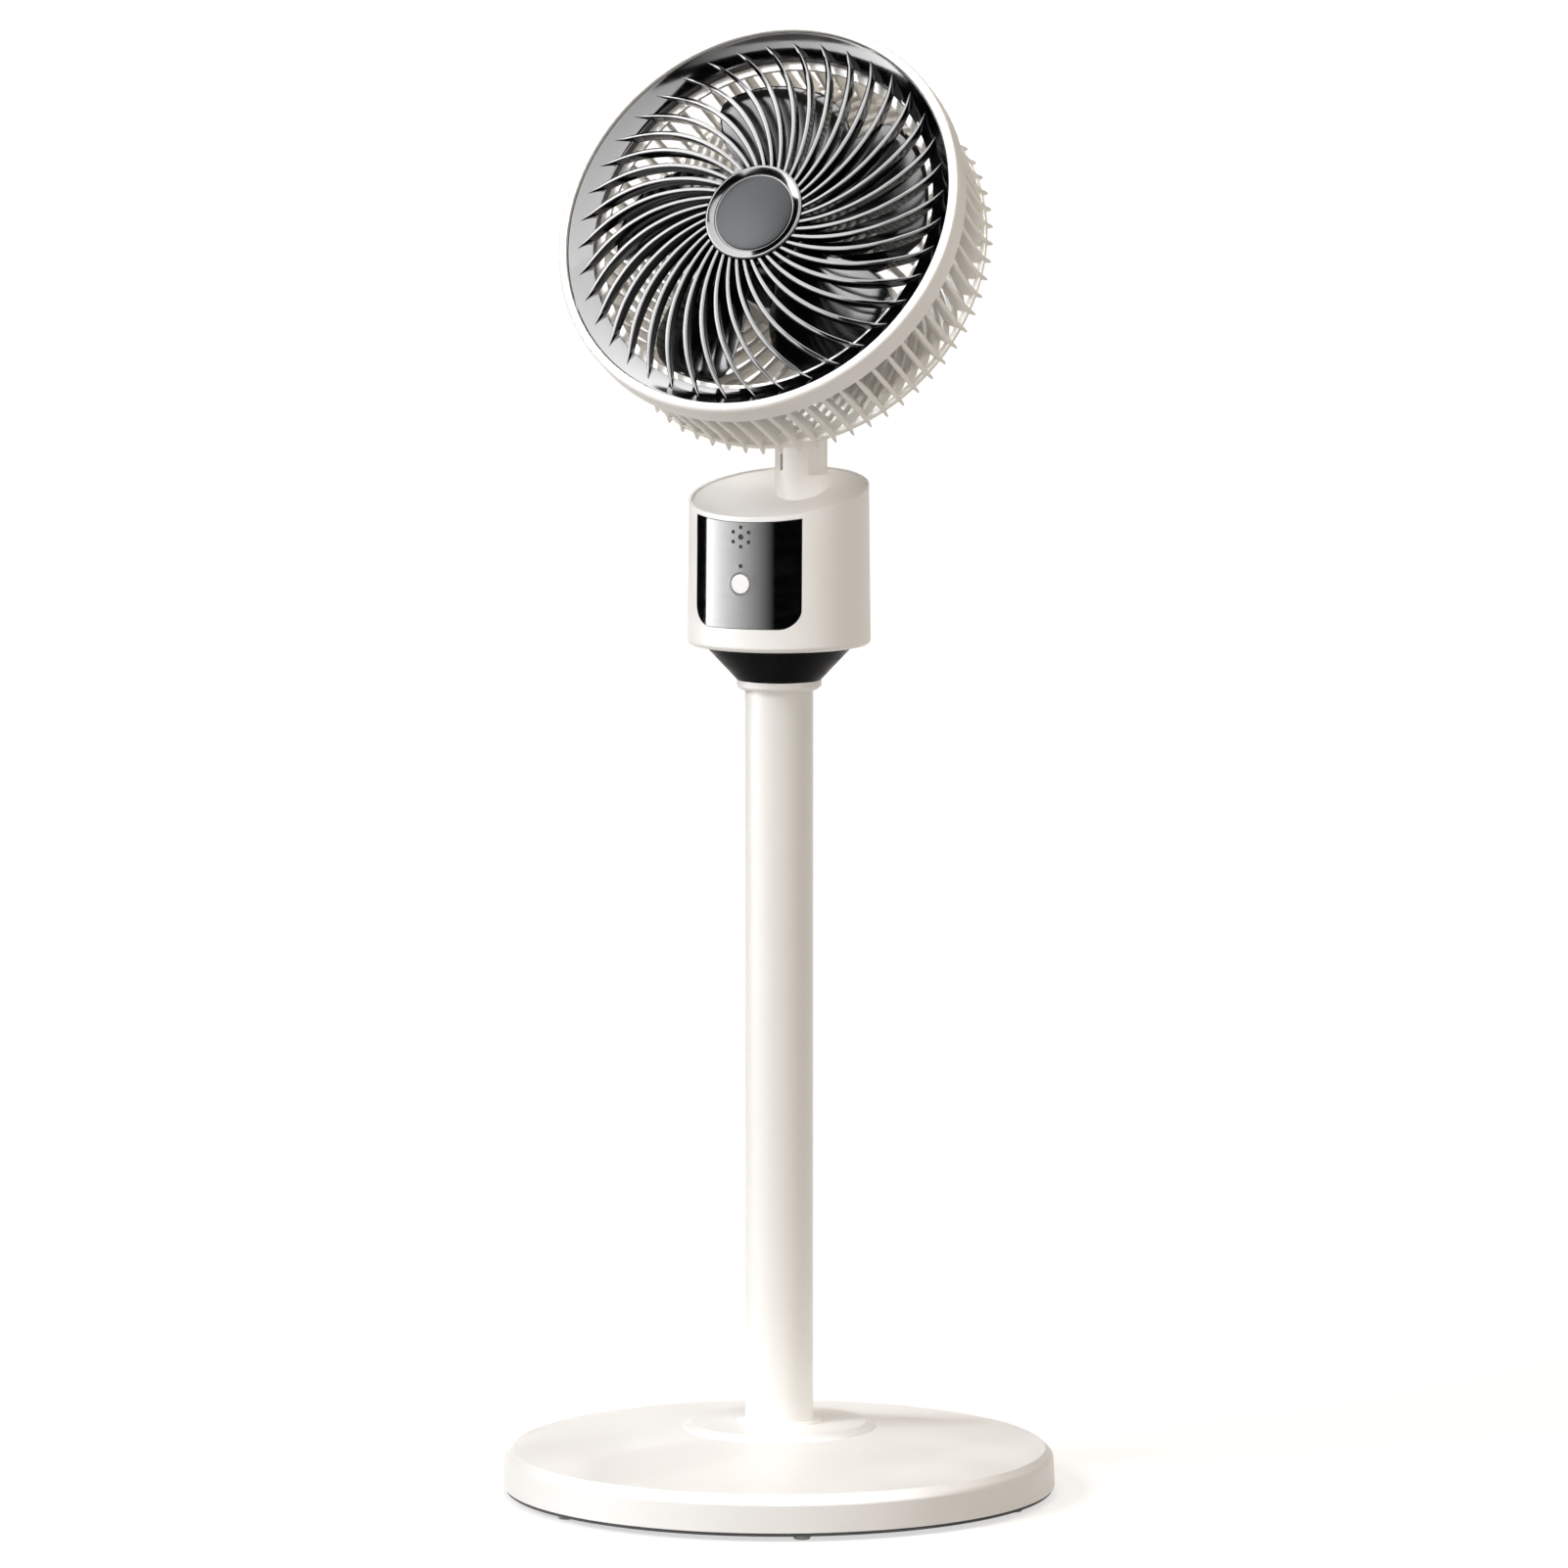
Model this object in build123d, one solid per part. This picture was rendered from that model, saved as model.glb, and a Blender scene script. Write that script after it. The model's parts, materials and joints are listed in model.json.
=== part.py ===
"""Rechargeable pedestal fan: a round weighted base, a plain pole, a swivelling control box with a
dished top, a neck post, and a tilting fan head with a swept grille in front and a ribbed cage behind.

Millimetres. +Z is up, the front of the fan faces -Y, and the origin is on the floor at the middle
of the base. Head pieces are drawn in the head's own frame: its +Z looks out of the grille, its +Y
runs up the grille, and its origin is the centre of the front ring.
"""

from math import acos, cos, pi, radians, sin, sqrt, tan
import os

from build123d import *

# Clearances
RUNNING = 0.05
SNUG = 0.1
SEAM = 0.25
BODY_GAP = 0.3
SLIP = 0.4

# Screws, each as shank radius, head radius and head height
BASE_SCREW = (1.5, 3.2, 1.5)
FLOOR_SCREW = (1.2, 2.9, 1.2)
NECK_SCREW = (1.25, 2.7, 1.8)
CAGE_SCREW = (1.15, 2.4, 1.6)
EAR_SCREW = (1.0, 2.2, 1.4)

# Base
BASE_R = 160.0
BASE_SHOULDER_R = 154.5
BASE_WALL = 2.6
FOOT_H = 3.0
FOOT_R = 5.0
FOOT_CIRCLE_R = 149.0
FOOT_COUNT = 6
PLATE_T = 2.5
PLATE_INSET = 1.2
SKIRT_LIFT = 2.0
SKIRT_H = 21.5
CONE_RISE = 11.9
WEIGHT_R = 134.0
WEIGHT_T = 12.0
BASE_BOSS_R = 5.0
BOLT_POCKET_R = 11.0
BOLT_WINDOW_R = 14.0

# Raised flange at the foot of the pole
FLANGE_R = 56.0
FLANGE_TOP_R = 50.3
FLANGE_T = 3.3
TRIM_R = 24.7
TRIM_H = 1.9
SOCKET_WALL = 4.2

# Pole
POLE_R = 19.7
POLE_WALL = 1.2
POLE_TOP_Z = 473.0
BOLT_R = 4.0
BOLT_WASHER_R = 9.5
BOLT_WASHER_T = 1.6
BOLT_FLATS = 13.0
BOLT_HEAD_T = 5.0
PLUG_L = 22.0

# Collar and swivel cone under the control box
COLLAR_R = 24.4
COLLAR_DROP = 3.4
COLLAR_H = 5.4
CONE_H = 20.2
CONE_TOP_R = 43.3
CONE_FLOOR_T = 3.5
CONE_WALL = 2.6
SPINDLE_R = 7.0
SPINDLE_BORE_R = 4.5
WASHER_T = 1.0

# Control box
BOX_R = 52.8
BOX_TOP_R = 51.8
BOX_WALL = 2.4
BOX_EDGE_R = 3.0
BOX_RIM_MID_Z = 583.5
BOX_RIM_TILT = 11.0
BOX_FLOOR_T = 3.0
DISH_DEPTH = 10.5
DECK_T = 2.2
DECK_SKIRT = 4.5
DECK_EDGE_REACH = 2.2

# Front panel, lenses and button
PANEL_HALF_WIDTH = 33.0
PANEL_BOTTOM_Z = 509.3
PANEL_CORNER_R = 11.5
PANEL_RIM_STRIP = 3.0
BUTTON_Z = 535.0
BUTTON_R = 5.6
BUTTON_PROUD = 0.6
BUTTON_TRAVEL = 0.8
BEZEL_R = 6.6
STATUS_Z = 545.3
STATUS_R = 1.1
SPEED_Z = 562.0
SPEED_CIRCLE_R = 5.6
SPEED_R = 1.0
SPEED_MIDDLE_R = 1.5
LENS_L = 2.0
LENS_SET_IN = 0.15

# Board and switch behind the panel
BOARD_Y = -42.6
BOARD_T = 1.6
BOARD_HALF_W = 25.0
SWITCH_DEPTH = 3.4
PLUNGER_R = 1.6
PLUNGER_PROUD = 2.2
PLUNGER_IN = 1.0

# Cells
CELL_R = 9.1
CELL_H = 65.0
CELL_SPOTS = ((-33.0, -9.0), (-31.0, 12.5))
CELL_LIFT = 2.0

# Charging socket in the rear wall
PORT_Z = 514.0
PORT_HALF_W = 4.5
PORT_HALF_H = 1.65
PORT_SET_OUT = 0.7

# Swing gear pair
GEAR_MODULE = 1.0
GEAR_TEETH = 32
PINION_TEETH = 12
GEAR_W = 5.0
BACKLASH = 0.2

# Swing motor
MOTOR_BODY_R = 14.0
MOTOR_BODY_SHIFT = 8.0
MOTOR_EAR_X = 17.5
MOTOR_LIFT = 3.0

# Neck and tilt joint
NECK_Y = 32.6
NECK_R = 16.2
NECK_FLAT = 9.4
NECK_SCREW_CIRCLE_R = 11.0
NECK_SCREW_L = 11.0
NECK_FOOT_TOP_Z = 591.5
SLOT_BOTTOM_Z = 593.7
SLOT_W = 2.0
CORE_HALF = 5.85
NECK_BASE_Z = 561.0
TILT_BOLT_R = 3.0
TILT_HEAD_R = 5.4
TILT_HEAD_T = 2.8
TILT_NUT_X = 11.6
TILT_NUT_T = 3.0
TILT_NUT_FLATS = 9.2
LUG_HALF = 5.0
LUG_R = 11.0

# Head
TILT = 29.4
RING_Z = 744.0
PIVOT_BACK = 99.9
PIVOT_DOWN = 50.0
RING_R = 122.9
RING_GROOVE_R = 117.6
RING_FRONT = 1.6
RING_DEPTH = 13.5
RING_WALL = 2.4

# Front grille
DISH_RIM_R = 117.1
DISH_EDGE_R = 104.4
DISH_DROP = 8.0
DISH_T = 2.0
GRILLE_RIBS = 40
RIB_T = 2.2
RIB_TIP_R = 110.5
RIB_SWEEP = 38.6
RIB_LEAVE = 20.0
HUB_R = 29.75
HUB_PROUD = 6.4
BADGE_R = 23.6

# Rear cage
CAGE_RIBS = 66
CAGE_RIB_T = 2.2
CAGE_SLAT_T = 3.6
CAGE_R = 118.4
CAGE_FRONT = 12.5
CAGE_REAR = 70.0
CAGE_CORNER_R = 112.0
CAGE_RIB_DEPTH = 9.0
CAGE_SWEEP = -45.0
MID_RING_R = 78.0
CAGE_HUB_R = 42.0
CAGE_LIP_R = 99.6
CAGE_LIP_T = 2.0

# Motor and blades
HOUSING_R = 36.0
HOUSING_WALL = 2.0
HOUSING_BACK = 84.0
HOUSING_FRONT = 48.0
SHAFT_R = 3.0
BEARING_R = 8.15
BEARING_W = 5.0
STATOR_R = 22.0
STATOR_H = 16.0
STATOR_TEETH = 9
CAN_R = 27.0
BLADES = 5
BLADE_TIP_R = 97.0
BLADE_T = 1.8
FAN_HUB_R = 24.0
FAN_HUB_FRONT = 17.0
FAN_HUB_BACK = 42.0

# Heights that follow from the sizes above
PLATE_Z = FOOT_H
PLATE_TOP_Z = PLATE_Z + PLATE_T
SKIRT_Z = PLATE_Z + SKIRT_LIFT
BASE_TOP_Z = SKIRT_Z + SKIRT_H
SEAT_Z = BASE_TOP_Z + CONE_RISE
WEIGHT_TOP_Z = PLATE_TOP_Z + WEIGHT_T
FLANGE_Z = SEAT_Z + FLANGE_T
POLE_BORE_R = POLE_R - POLE_WALL
COLLAR_Z = POLE_TOP_Z - COLLAR_DROP
CONE_Z = COLLAR_Z + COLLAR_H
CONE_TOP_Z = CONE_Z + CONE_H
WASHER_Z = CONE_TOP_Z + WASHER_T
BOX_Z = CONE_TOP_Z + BODY_GAP
FLOOR_Z = WASHER_Z + BODY_GAP
FLOOR_TOP_Z = FLOOR_Z + BOX_FLOOR_T
HUB_TOP_Z = FLOOR_TOP_Z + 3.5
GEAR_Z = HUB_TOP_Z + BODY_GAP
GEAR_TOP_Z = GEAR_Z + GEAR_W
NUT_TOP_Z = GEAR_TOP_Z + 4.6
BOX_INNER_R = BOX_R - BOX_WALL - 0.2
DECK_R = BOX_INNER_R - SEAM
PIVOT_Y = NECK_Y
RING_Y = NECK_Y - PIVOT_BACK * cos(radians(TILT)) + PIVOT_DOWN * sin(radians(TILT))
PIVOT_Z = RING_Z - PIVOT_BACK * sin(radians(TILT)) - PIVOT_DOWN * cos(radians(TILT))
CORE_TOP_Z = PIVOT_Z - LUG_R - 2.5
GEAR_PITCH_R = GEAR_MODULE * GEAR_TEETH / 2
PINION_PITCH_R = GEAR_MODULE * PINION_TEETH / 2
GEAR_CENTRES = GEAR_PITCH_R + PINION_PITCH_R
MOTOR_BODY_X = GEAR_CENTRES + MOTOR_BODY_SHIFT
MOTOR_Z = GEAR_TOP_Z + MOTOR_LIFT
CELL_Z = FLOOR_TOP_Z + CELL_LIFT
SWITCH_FRONT_Y = BOARD_Y - SWITCH_DEPTH
PORT_REAR_Y = BOX_INNER_R + PORT_SET_OUT

HEAD = Plane(
    origin=(0, RING_Y, RING_Z),
    x_dir=(1, 0, 0),
    z_dir=(0, -cos(radians(TILT)), sin(radians(TILT))),
).location


# Helpers

def disc(radius, low, high):
    """Solid cylinder on the Z axis between two heights."""
    return Pos(0, 0, low) * Cylinder(radius, high - low, align=(Align.CENTER, Align.CENTER, Align.MIN))


def ring(outer, inner, low, high):
    """Tube on the Z axis between two heights."""
    return disc(outer, low, high) - disc(inner, low, high)


def block(x, y, z):
    """Box between three pairs of limits."""
    size = (x[1] - x[0], y[1] - y[0], z[1] - z[0])
    middle = ((x[0] + x[1]) / 2, (y[0] + y[1]) / 2, (z[0] + z[1]) / 2)
    return Pos(*middle) * Box(*size)


def turned(*outline):
    """Solid of revolution about Z of an outline of (radius, height) points."""
    return revolve(make_face(Plane.XZ * Polyline(*outline, close=True)), Axis.Z)


def along_y(radius, x, z, low, high):
    """Cylinder along Y through (x, z) between two Y limits."""
    bar = Cylinder(radius, high - low, align=(Align.CENTER, Align.CENTER, Align.MIN))
    return Pos(x, low, z) * Rot(-90, 0, 0) * bar


def along_x(radius, y, z, low, high):
    """Cylinder along X through (y, z) between two X limits."""
    bar = Cylinder(radius, high - low, align=(Align.CENTER, Align.CENTER, Align.MIN))
    return Pos(low, y, z) * Rot(0, 90, 0) * bar


def hexagon(across_flats, low, high):
    """Hexagonal bar on the Z axis between two heights."""
    outline = RegularPolygon(across_flats / 2, 6, major_radius=False)
    return Pos(0, 0, low) * extrude(outline, amount=high - low)


def around(shape, count, radius=0.0, start=0.0):
    """Copies of a shape turned about Z, each moved out along its own direction."""
    step = 360 / count
    return [Rot(0, 0, start + k * step) * Pos(radius, 0, 0) * shape for k in range(count)]


def screw_up(size, low, high):
    """Pan-head screw driven upwards from below: head first, then shank."""
    shank_r, head_r, head_h = size
    return disc(head_r, low, low + head_h) + disc(shank_r, low + head_h, high)


def sunk_hole(size, low, high):
    """Slip hole for a screw from below, with a pocket for its head."""
    shank_r, head_r, head_h = size
    return disc(head_r + BODY_GAP, low, low + head_h + SNUG) + disc(shank_r + SLIP, low, high)


def group(shapes):
    """Separate solids kept together in one node."""
    return Compound(children=[solid for shape in shapes for solid in shape.solids()])


def rim_plane(drop=0.0):
    """Plane of the box's slanted rim, lowered along Z by drop."""
    slope = radians(BOX_RIM_TILT)
    return Plane(origin=(0, 0, BOX_RIM_MID_Z - drop), x_dir=(1, 0, 0), z_dir=(0, -sin(slope), cos(slope)))


def below_rim(shape, drop=0.0):
    """The part of a shape that lies under the slanted rim plane."""
    return split(shape, bisect_by=rim_plane(drop), keep=Keep.BOTTOM)


def box_wall_r(z):
    """Outer radius of the drafted box wall at a height."""
    share = (z - BOX_Z) / (BOX_RIM_MID_Z - BOX_Z)
    return BOX_R + (BOX_TOP_R - BOX_R) * share


def involute_gear(teeth, bore_r, low, high):
    """Spur gear on the Z axis with involute flanks and one tooth centred on +X."""
    pressure = radians(20)
    pitch_r = GEAR_MODULE * teeth / 2
    base_r = pitch_r * cos(pressure)
    tip_r = pitch_r + 0.9 * GEAR_MODULE
    root_r = pitch_r - 1.25 * GEAR_MODULE
    half_pitch = pi / (2 * teeth) - BACKLASH / (2 * pitch_r) / 2 + tan(pressure) - pressure
    flank = []
    for k in range(6):
        radius = max(base_r, root_r) + (tip_r - max(base_r, root_r)) * k / 5
        roll = acos(min(1.0, base_r / radius))
        flank.append((radius, half_pitch - (tan(roll) - roll)))
    if root_r < base_r:
        flank.insert(0, (root_r, flank[0][1]))
    outline = []
    for tooth in range(teeth):
        centre = 2 * pi * tooth / teeth
        sides = [(r, centre - a) for r, a in flank] + [(r, centre + a) for r, a in reversed(flank)]
        outline += [(r * cos(a), r * sin(a)) for r, a in sides]
    wheel = extrude(make_face(Polyline(*outline, close=True)), amount=high - low)
    return Pos(0, 0, low) * wheel - disc(bore_r, low, high)


def spiral_strip(inner_r, outer_r, sweep, leave, thickness, low, high):
    """Curved rib standing along Z, from +X at inner_r to the sweep angle at outer_r.

    It leaves the inner circle at the angle leave from the outward direction and is one arc in plan.
    """
    start = (inner_r, 0)
    end = (outer_r * cos(radians(sweep)), outer_r * sin(radians(sweep)))
    heading = (cos(radians(leave)), sin(radians(leave)))
    path = TangentArc(start, end, tangent=heading)
    strip = offset(path, amount=thickness / 2, side=Side.BOTH)
    return Pos(0, 0, low) * extrude(make_face(strip), amount=high - low)


# Base

def base_screw_spots(shape):
    """One copy of a shape for each bottom plate screw."""
    return around(shape, FOOT_COUNT, radius=FOOT_CIRCLE_R - 3, start=30)


def base_cover():
    """Round cover: upright skirt, soft shoulder, shallow cone, flat seat for the pole flange."""
    hole_r = POLE_R + SNUG + SOCKET_WALL + SEAM
    seat_r = FLANGE_R + 1
    shoulder_z = BASE_TOP_Z - (BASE_R - BASE_SHOULDER_R) * 0.8
    outer = turned(
        (hole_r, SKIRT_Z), (BASE_R, SKIRT_Z), (BASE_R - 0.8, shoulder_z),
        (BASE_SHOULDER_R, BASE_TOP_Z), (seat_r, SEAT_Z), (hole_r, SEAT_Z),
    )
    rounded = fillet(outer.edges().filter_by(GeomType.CIRCLE).group_by(SortBy.RADIUS)[-2], 4.0)
    wall = BASE_WALL
    hollow = turned(
        (0, SKIRT_Z - 1), (BASE_R - wall, SKIRT_Z - 1), (BASE_R - 0.8 - wall, shoulder_z - 1),
        (BASE_SHOULDER_R - 1, BASE_TOP_Z - wall), (seat_r - 1, SEAT_Z - wall), (0, SEAT_Z - wall),
    )
    shell = rounded - hollow
    boss = ring(BASE_BOSS_R, BASE_SCREW[0] + RUNNING, PLATE_TOP_Z, BASE_TOP_Z - 1)
    for spot in base_screw_spots(boss):
        shell += spot
    return shell


def base_weight():
    """Cast disc with a bolt hole and a pocket under it for the bolt head."""
    casting = disc(WEIGHT_R, PLATE_TOP_Z, WEIGHT_TOP_Z)
    pocket = disc(BOLT_POCKET_R, PLATE_TOP_Z, PLATE_TOP_Z + WEIGHT_T / 2)
    return casting - pocket - disc(BOLT_R + BODY_GAP, PLATE_TOP_Z, WEIGHT_TOP_Z)


def base_bottom_plate():
    """Thin plate with a rim under the skirt, pockets for its screws and a window for the pole bolt."""
    plate = ring(BASE_R - BASE_WALL - 1, BOLT_WINDOW_R, PLATE_Z, PLATE_TOP_Z)
    plate += ring(BASE_R - PLATE_INSET, BOLT_WINDOW_R, PLATE_Z, SKIRT_Z - SNUG)
    for spot in base_screw_spots(sunk_hole(BASE_SCREW, PLATE_Z, PLATE_TOP_Z)):
        plate -= spot
    return plate


def base_feet():
    """Small round pads under the plate."""
    pad = turned((0, 0), (FOOT_R - 0.6, 0), (FOOT_R, 0.8), (FOOT_R, FOOT_H), (0, FOOT_H))
    return group(around(pad, FOOT_COUNT, radius=FOOT_CIRCLE_R))


def base_screws():
    """Pan-head screws that hold the bottom plate to the cover."""
    screw = screw_up(BASE_SCREW, PLATE_Z + SNUG, PLATE_Z + 12)
    return group(base_screw_spots(screw))


def pole_flange():
    """Raised bevelled disc with a trim ring and a socket that stands on the weight."""
    bore_r = POLE_R + SNUG
    socket_r = bore_r + SOCKET_WALL
    return turned(
        (bore_r, WEIGHT_TOP_Z), (socket_r, WEIGHT_TOP_Z), (socket_r, SEAT_Z), (FLANGE_R, SEAT_Z),
        (FLANGE_R - 0.6, SEAT_Z + 0.9), (FLANGE_TOP_R, FLANGE_Z), (TRIM_R, FLANGE_Z),
        (TRIM_R - 0.5, FLANGE_Z + TRIM_H * 0.6), (TRIM_R - 2, FLANGE_Z + TRIM_H),
        (bore_r, FLANGE_Z + TRIM_H),
    )


def pole_tube():
    """Plain steel tube standing on the weight."""
    return ring(POLE_R, POLE_BORE_R, WEIGHT_TOP_Z, POLE_TOP_Z)


def pole_plug():
    """Threaded plug welded in the foot of the tube."""
    return ring(POLE_BORE_R - RUNNING, BOLT_R + RUNNING, WEIGHT_TOP_Z, WEIGHT_TOP_Z + PLUG_L)


def pole_washer():
    """Washer against the roof of the weight's pocket."""
    roof = PLATE_TOP_Z + WEIGHT_T / 2
    return ring(BOLT_WASHER_R, BOLT_R + SNUG, roof - BOLT_WASHER_T, roof)


def pole_bolt():
    """Bolt from under the weight up into the plug."""
    head_top = PLATE_TOP_Z + WEIGHT_T / 2 - BOLT_WASHER_T
    shank = disc(BOLT_R, head_top, WEIGHT_TOP_Z + PLUG_L - 2)
    return hexagon(BOLT_FLATS, head_top - BOLT_HEAD_T, head_top) + shank


def pole_collar():
    """White ring round the top of the tube, with a plug down inside it."""
    bore_r = POLE_R + SNUG
    plug_r = POLE_BORE_R - RUNNING
    hole_r = SPINDLE_R + RUNNING
    return turned(
        (hole_r, POLE_TOP_Z - 30), (plug_r, POLE_TOP_Z - 30), (plug_r, POLE_TOP_Z),
        (bore_r, POLE_TOP_Z), (bore_r, COLLAR_Z), (COLLAR_R - 1.8, COLLAR_Z),
        (COLLAR_R, COLLAR_Z + 1.8), (COLLAR_R, CONE_Z), (hole_r, CONE_Z),
    )


# Swivel

def swivel_cone():
    """Gloss cup that widens from the collar to the box, with a pillar round the spindle."""
    hole_r = SPINDLE_R + RUNNING
    pillar_r = SPINDLE_R + 5
    lean = (CONE_TOP_R - COLLAR_R) / CONE_H
    floor_z = CONE_Z + CONE_FLOOR_T
    inner_foot_r = COLLAR_R + lean * CONE_FLOOR_T - CONE_WALL
    return turned(
        (hole_r, CONE_Z), (COLLAR_R, CONE_Z), (CONE_TOP_R, CONE_TOP_Z),
        (CONE_TOP_R - CONE_WALL, CONE_TOP_Z), (inner_foot_r, floor_z), (pillar_r, floor_z),
        (pillar_r, CONE_TOP_Z), (hole_r, CONE_TOP_Z),
    )


def swivel_spindle():
    """Hollow steel post that the box turns on, with room for the wires."""
    return ring(SPINDLE_R, SPINDLE_BORE_R, POLE_TOP_Z - 22, NUT_TOP_Z + 1)


def thrust_washer():
    """Slippery washer that carries the box on the cone's pillar."""
    return ring(SPINDLE_R + 5, SPINDLE_R + SNUG, CONE_TOP_Z, WASHER_Z)


def swivel_gear():
    """Fixed gear keyed to the spindle."""
    return involute_gear(GEAR_TEETH, SPINDLE_R + RUNNING, GEAR_Z, GEAR_TOP_Z)


def spindle_nut():
    """Thin nut that keeps the box on the spindle."""
    return hexagon(20, GEAR_TOP_Z, NUT_TOP_Z) - disc(SPINDLE_R + RUNNING, GEAR_TOP_Z, NUT_TOP_Z)


# Control box

def floor_screw_spots(shape):
    """One copy of a shape for each screw between the box floor and the shell."""
    return around(shape, 4, radius=BOX_INNER_R - 4.2, start=45)


def box_blank(grow=0.0):
    """Drafted outer form of the box with a rounded lower edge, cut by the slanted rim."""
    top_z = BOX_RIM_MID_Z + 12
    lower_r = box_wall_r(BOX_Z) + grow
    body = turned((0, BOX_Z), (lower_r, BOX_Z), (box_wall_r(top_z) + grow, top_z), (0, top_z))
    lower_edge = body.edges().filter_by(GeomType.CIRCLE).sort_by(Axis.Z)[0]
    return below_rim(fillet(lower_edge, BOX_EDGE_R))


def panel_outline(grow=0.0):
    """Front view of the panel as a bar along Y: square at the top, round at the lower corners."""
    half = PANEL_HALF_WIDTH + grow
    low = PANEL_BOTTOM_Z - grow
    corner = PANEL_CORNER_R + grow
    high = BOX_RIM_MID_Z
    outline = Polyline((-half, low + corner), (-half, high), (half, high), (half, low + corner))
    outline += RadiusArc((half, low + corner), (half - corner, low), corner)
    outline += Line((half - corner, low), (corner - half, low))
    outline += RadiusArc((corner - half, low), (-half, low + corner), corner)
    return extrude(Plane.XZ * make_face(outline), amount=BOX_R + 5)


def box_shell():
    """White shell: drafted wall with the panel window, the charging port and the screw bosses."""
    shell = box_blank() - disc(BOX_INNER_R, BOX_Z - 1, BOX_RIM_MID_Z + 20)
    shell -= below_rim(panel_outline(SEAM), PANEL_RIM_STRIP - SEAM)
    port = block((-PORT_HALF_W - 0.4, PORT_HALF_W + 0.4), (40, 60), (PORT_Z - 2.1, PORT_Z + 2.1))
    shell -= fillet(port.edges().filter_by(Axis.Y), 2.0)
    boss = ring(3.8, FLOOR_SCREW[0] + RUNNING, FLOOR_TOP_Z + 0.2, FLOOR_TOP_Z + 14)
    inside = disc(BOX_INNER_R + 0.5, BOX_Z, BOX_RIM_MID_Z)
    web = block((1.4, 6), (-1.2, 1.2), (FLOOR_TOP_Z + 0.2, FLOOR_TOP_Z + 14))
    for spot in floor_screw_spots(boss + web):
        shell += spot & inside
    return shell


def box_floor():
    """Floor with the swivel hub, the posts of the swing motor and the cell cups' seat."""
    plate = disc(BOX_INNER_R - SNUG, FLOOR_Z, FLOOR_TOP_Z)
    plate += disc(SPINDLE_R + 4.5, FLOOR_Z, HUB_TOP_Z)
    plate -= disc(SPINDLE_R + RUNNING, FLOOR_Z, HUB_TOP_Z)
    for spot in floor_screw_spots(sunk_hole(FLOOR_SCREW, FLOOR_Z, FLOOR_TOP_Z)):
        plate -= spot
    for side in (-1, 1):
        post = ring(3.2, EAR_SCREW[0] + RUNNING, FLOOR_TOP_Z, MOTOR_Z)
        plate += Pos(MOTOR_BODY_X, side * MOTOR_EAR_X, 0) * post
    return plate


def floor_screws():
    """Screws up through the floor into the shell's bosses."""
    screw = screw_up(FLOOR_SCREW, FLOOR_Z + SNUG, FLOOR_TOP_Z + 10)
    return group(floor_screw_spots(screw))


def dish_sphere(grow=0.0):
    """Sphere whose lower cap is the dished top of the deck; it meets the deck's wall under the rim."""
    reach = BOX_INNER_R + DECK_EDGE_REACH
    radius = (reach ** 2 + DISH_DEPTH ** 2) / (2 * DISH_DEPTH)
    centre = rim_plane().origin + rim_plane().z_dir * (radius - DISH_DEPTH)
    return Pos(*centre) * Sphere(radius + grow)


def top_deck():
    """Dished deck inside the rim, with a skirt and the socket that holds the neck."""
    low = NECK_BASE_Z - 3
    column = disc(DECK_R, low, BOX_RIM_MID_Z + 20) - dish_sphere()
    deck = column & dish_sphere(DECK_T)
    deck += column - disc(DECK_R - 1.8, low, BOX_RIM_MID_Z + 20) - below_rim(column, DECK_SKIRT)
    deck += column & (Pos(0, NECK_Y, 0) * disc(NECK_R + 2.6, low, BOX_RIM_MID_Z))
    deck -= Pos(0, NECK_Y, 0) * disc(NECK_R + SNUG, NECK_BASE_Z, BOX_RIM_MID_Z + 20)
    deck -= Pos(0, NECK_Y, 0) * disc(4, low, NECK_BASE_Z)
    for spot in neck_screw_spots(disc(NECK_SCREW[0] + SLIP, low, NECK_BASE_Z)):
        deck -= spot
    return deck


def control_panel():
    """Gloss panel flush in the shell's window, with holes for the lenses and the button."""
    slab = panel_outline() & (box_blank(-0.05) - disc(BOX_INNER_R, BOX_Z, BOX_RIM_MID_Z))
    panel = below_rim(slab, PANEL_RIM_STRIP)
    for hole in [along_y(r + RUNNING, x, z, -60, -40) for r, x, z in lens_spots()]:
        panel -= hole
    return panel - along_y(BEZEL_R + RUNNING, 0, BUTTON_Z, -60, -40)


def lens_spots():
    """Radius and place of each lens: one over six round it, and the status lens below."""
    spots = [(SPEED_MIDDLE_R, 0.0, SPEED_Z)]
    for k in range(6):
        angle = radians(90 + 60 * k)
        spots.append((SPEED_R, SPEED_CIRCLE_R * cos(angle), SPEED_Z + SPEED_CIRCLE_R * sin(angle)))
    spots.append((STATUS_R, 0.0, STATUS_Z))
    return spots


def lens(radius, x, z):
    """Lens whose face follows the box wall, a hair below it."""
    front = -sqrt(box_wall_r(z) ** 2 - x ** 2) + LENS_SET_IN
    return along_y(radius, x, z, front, front + LENS_L)


def speed_lenses():
    """Seven lenses of the speed and charge lights."""
    return group([lens(*spot) for spot in lens_spots()[:-1]])


def status_lens():
    """Lens of the power light."""
    return lens(*lens_spots()[-1])


def button_face_y():
    """Y of the box wall at the button."""
    return -box_wall_r(BUTTON_Z)


def button_bezel():
    """Dark ring in the panel round the button."""
    face = button_face_y()
    outer = along_y(BEZEL_R, 0, BUTTON_Z, face + 0.5, face + 3.2)
    return outer - along_y(BUTTON_R + BODY_GAP, 0, BUTTON_Z, face, face + 4)


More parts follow.
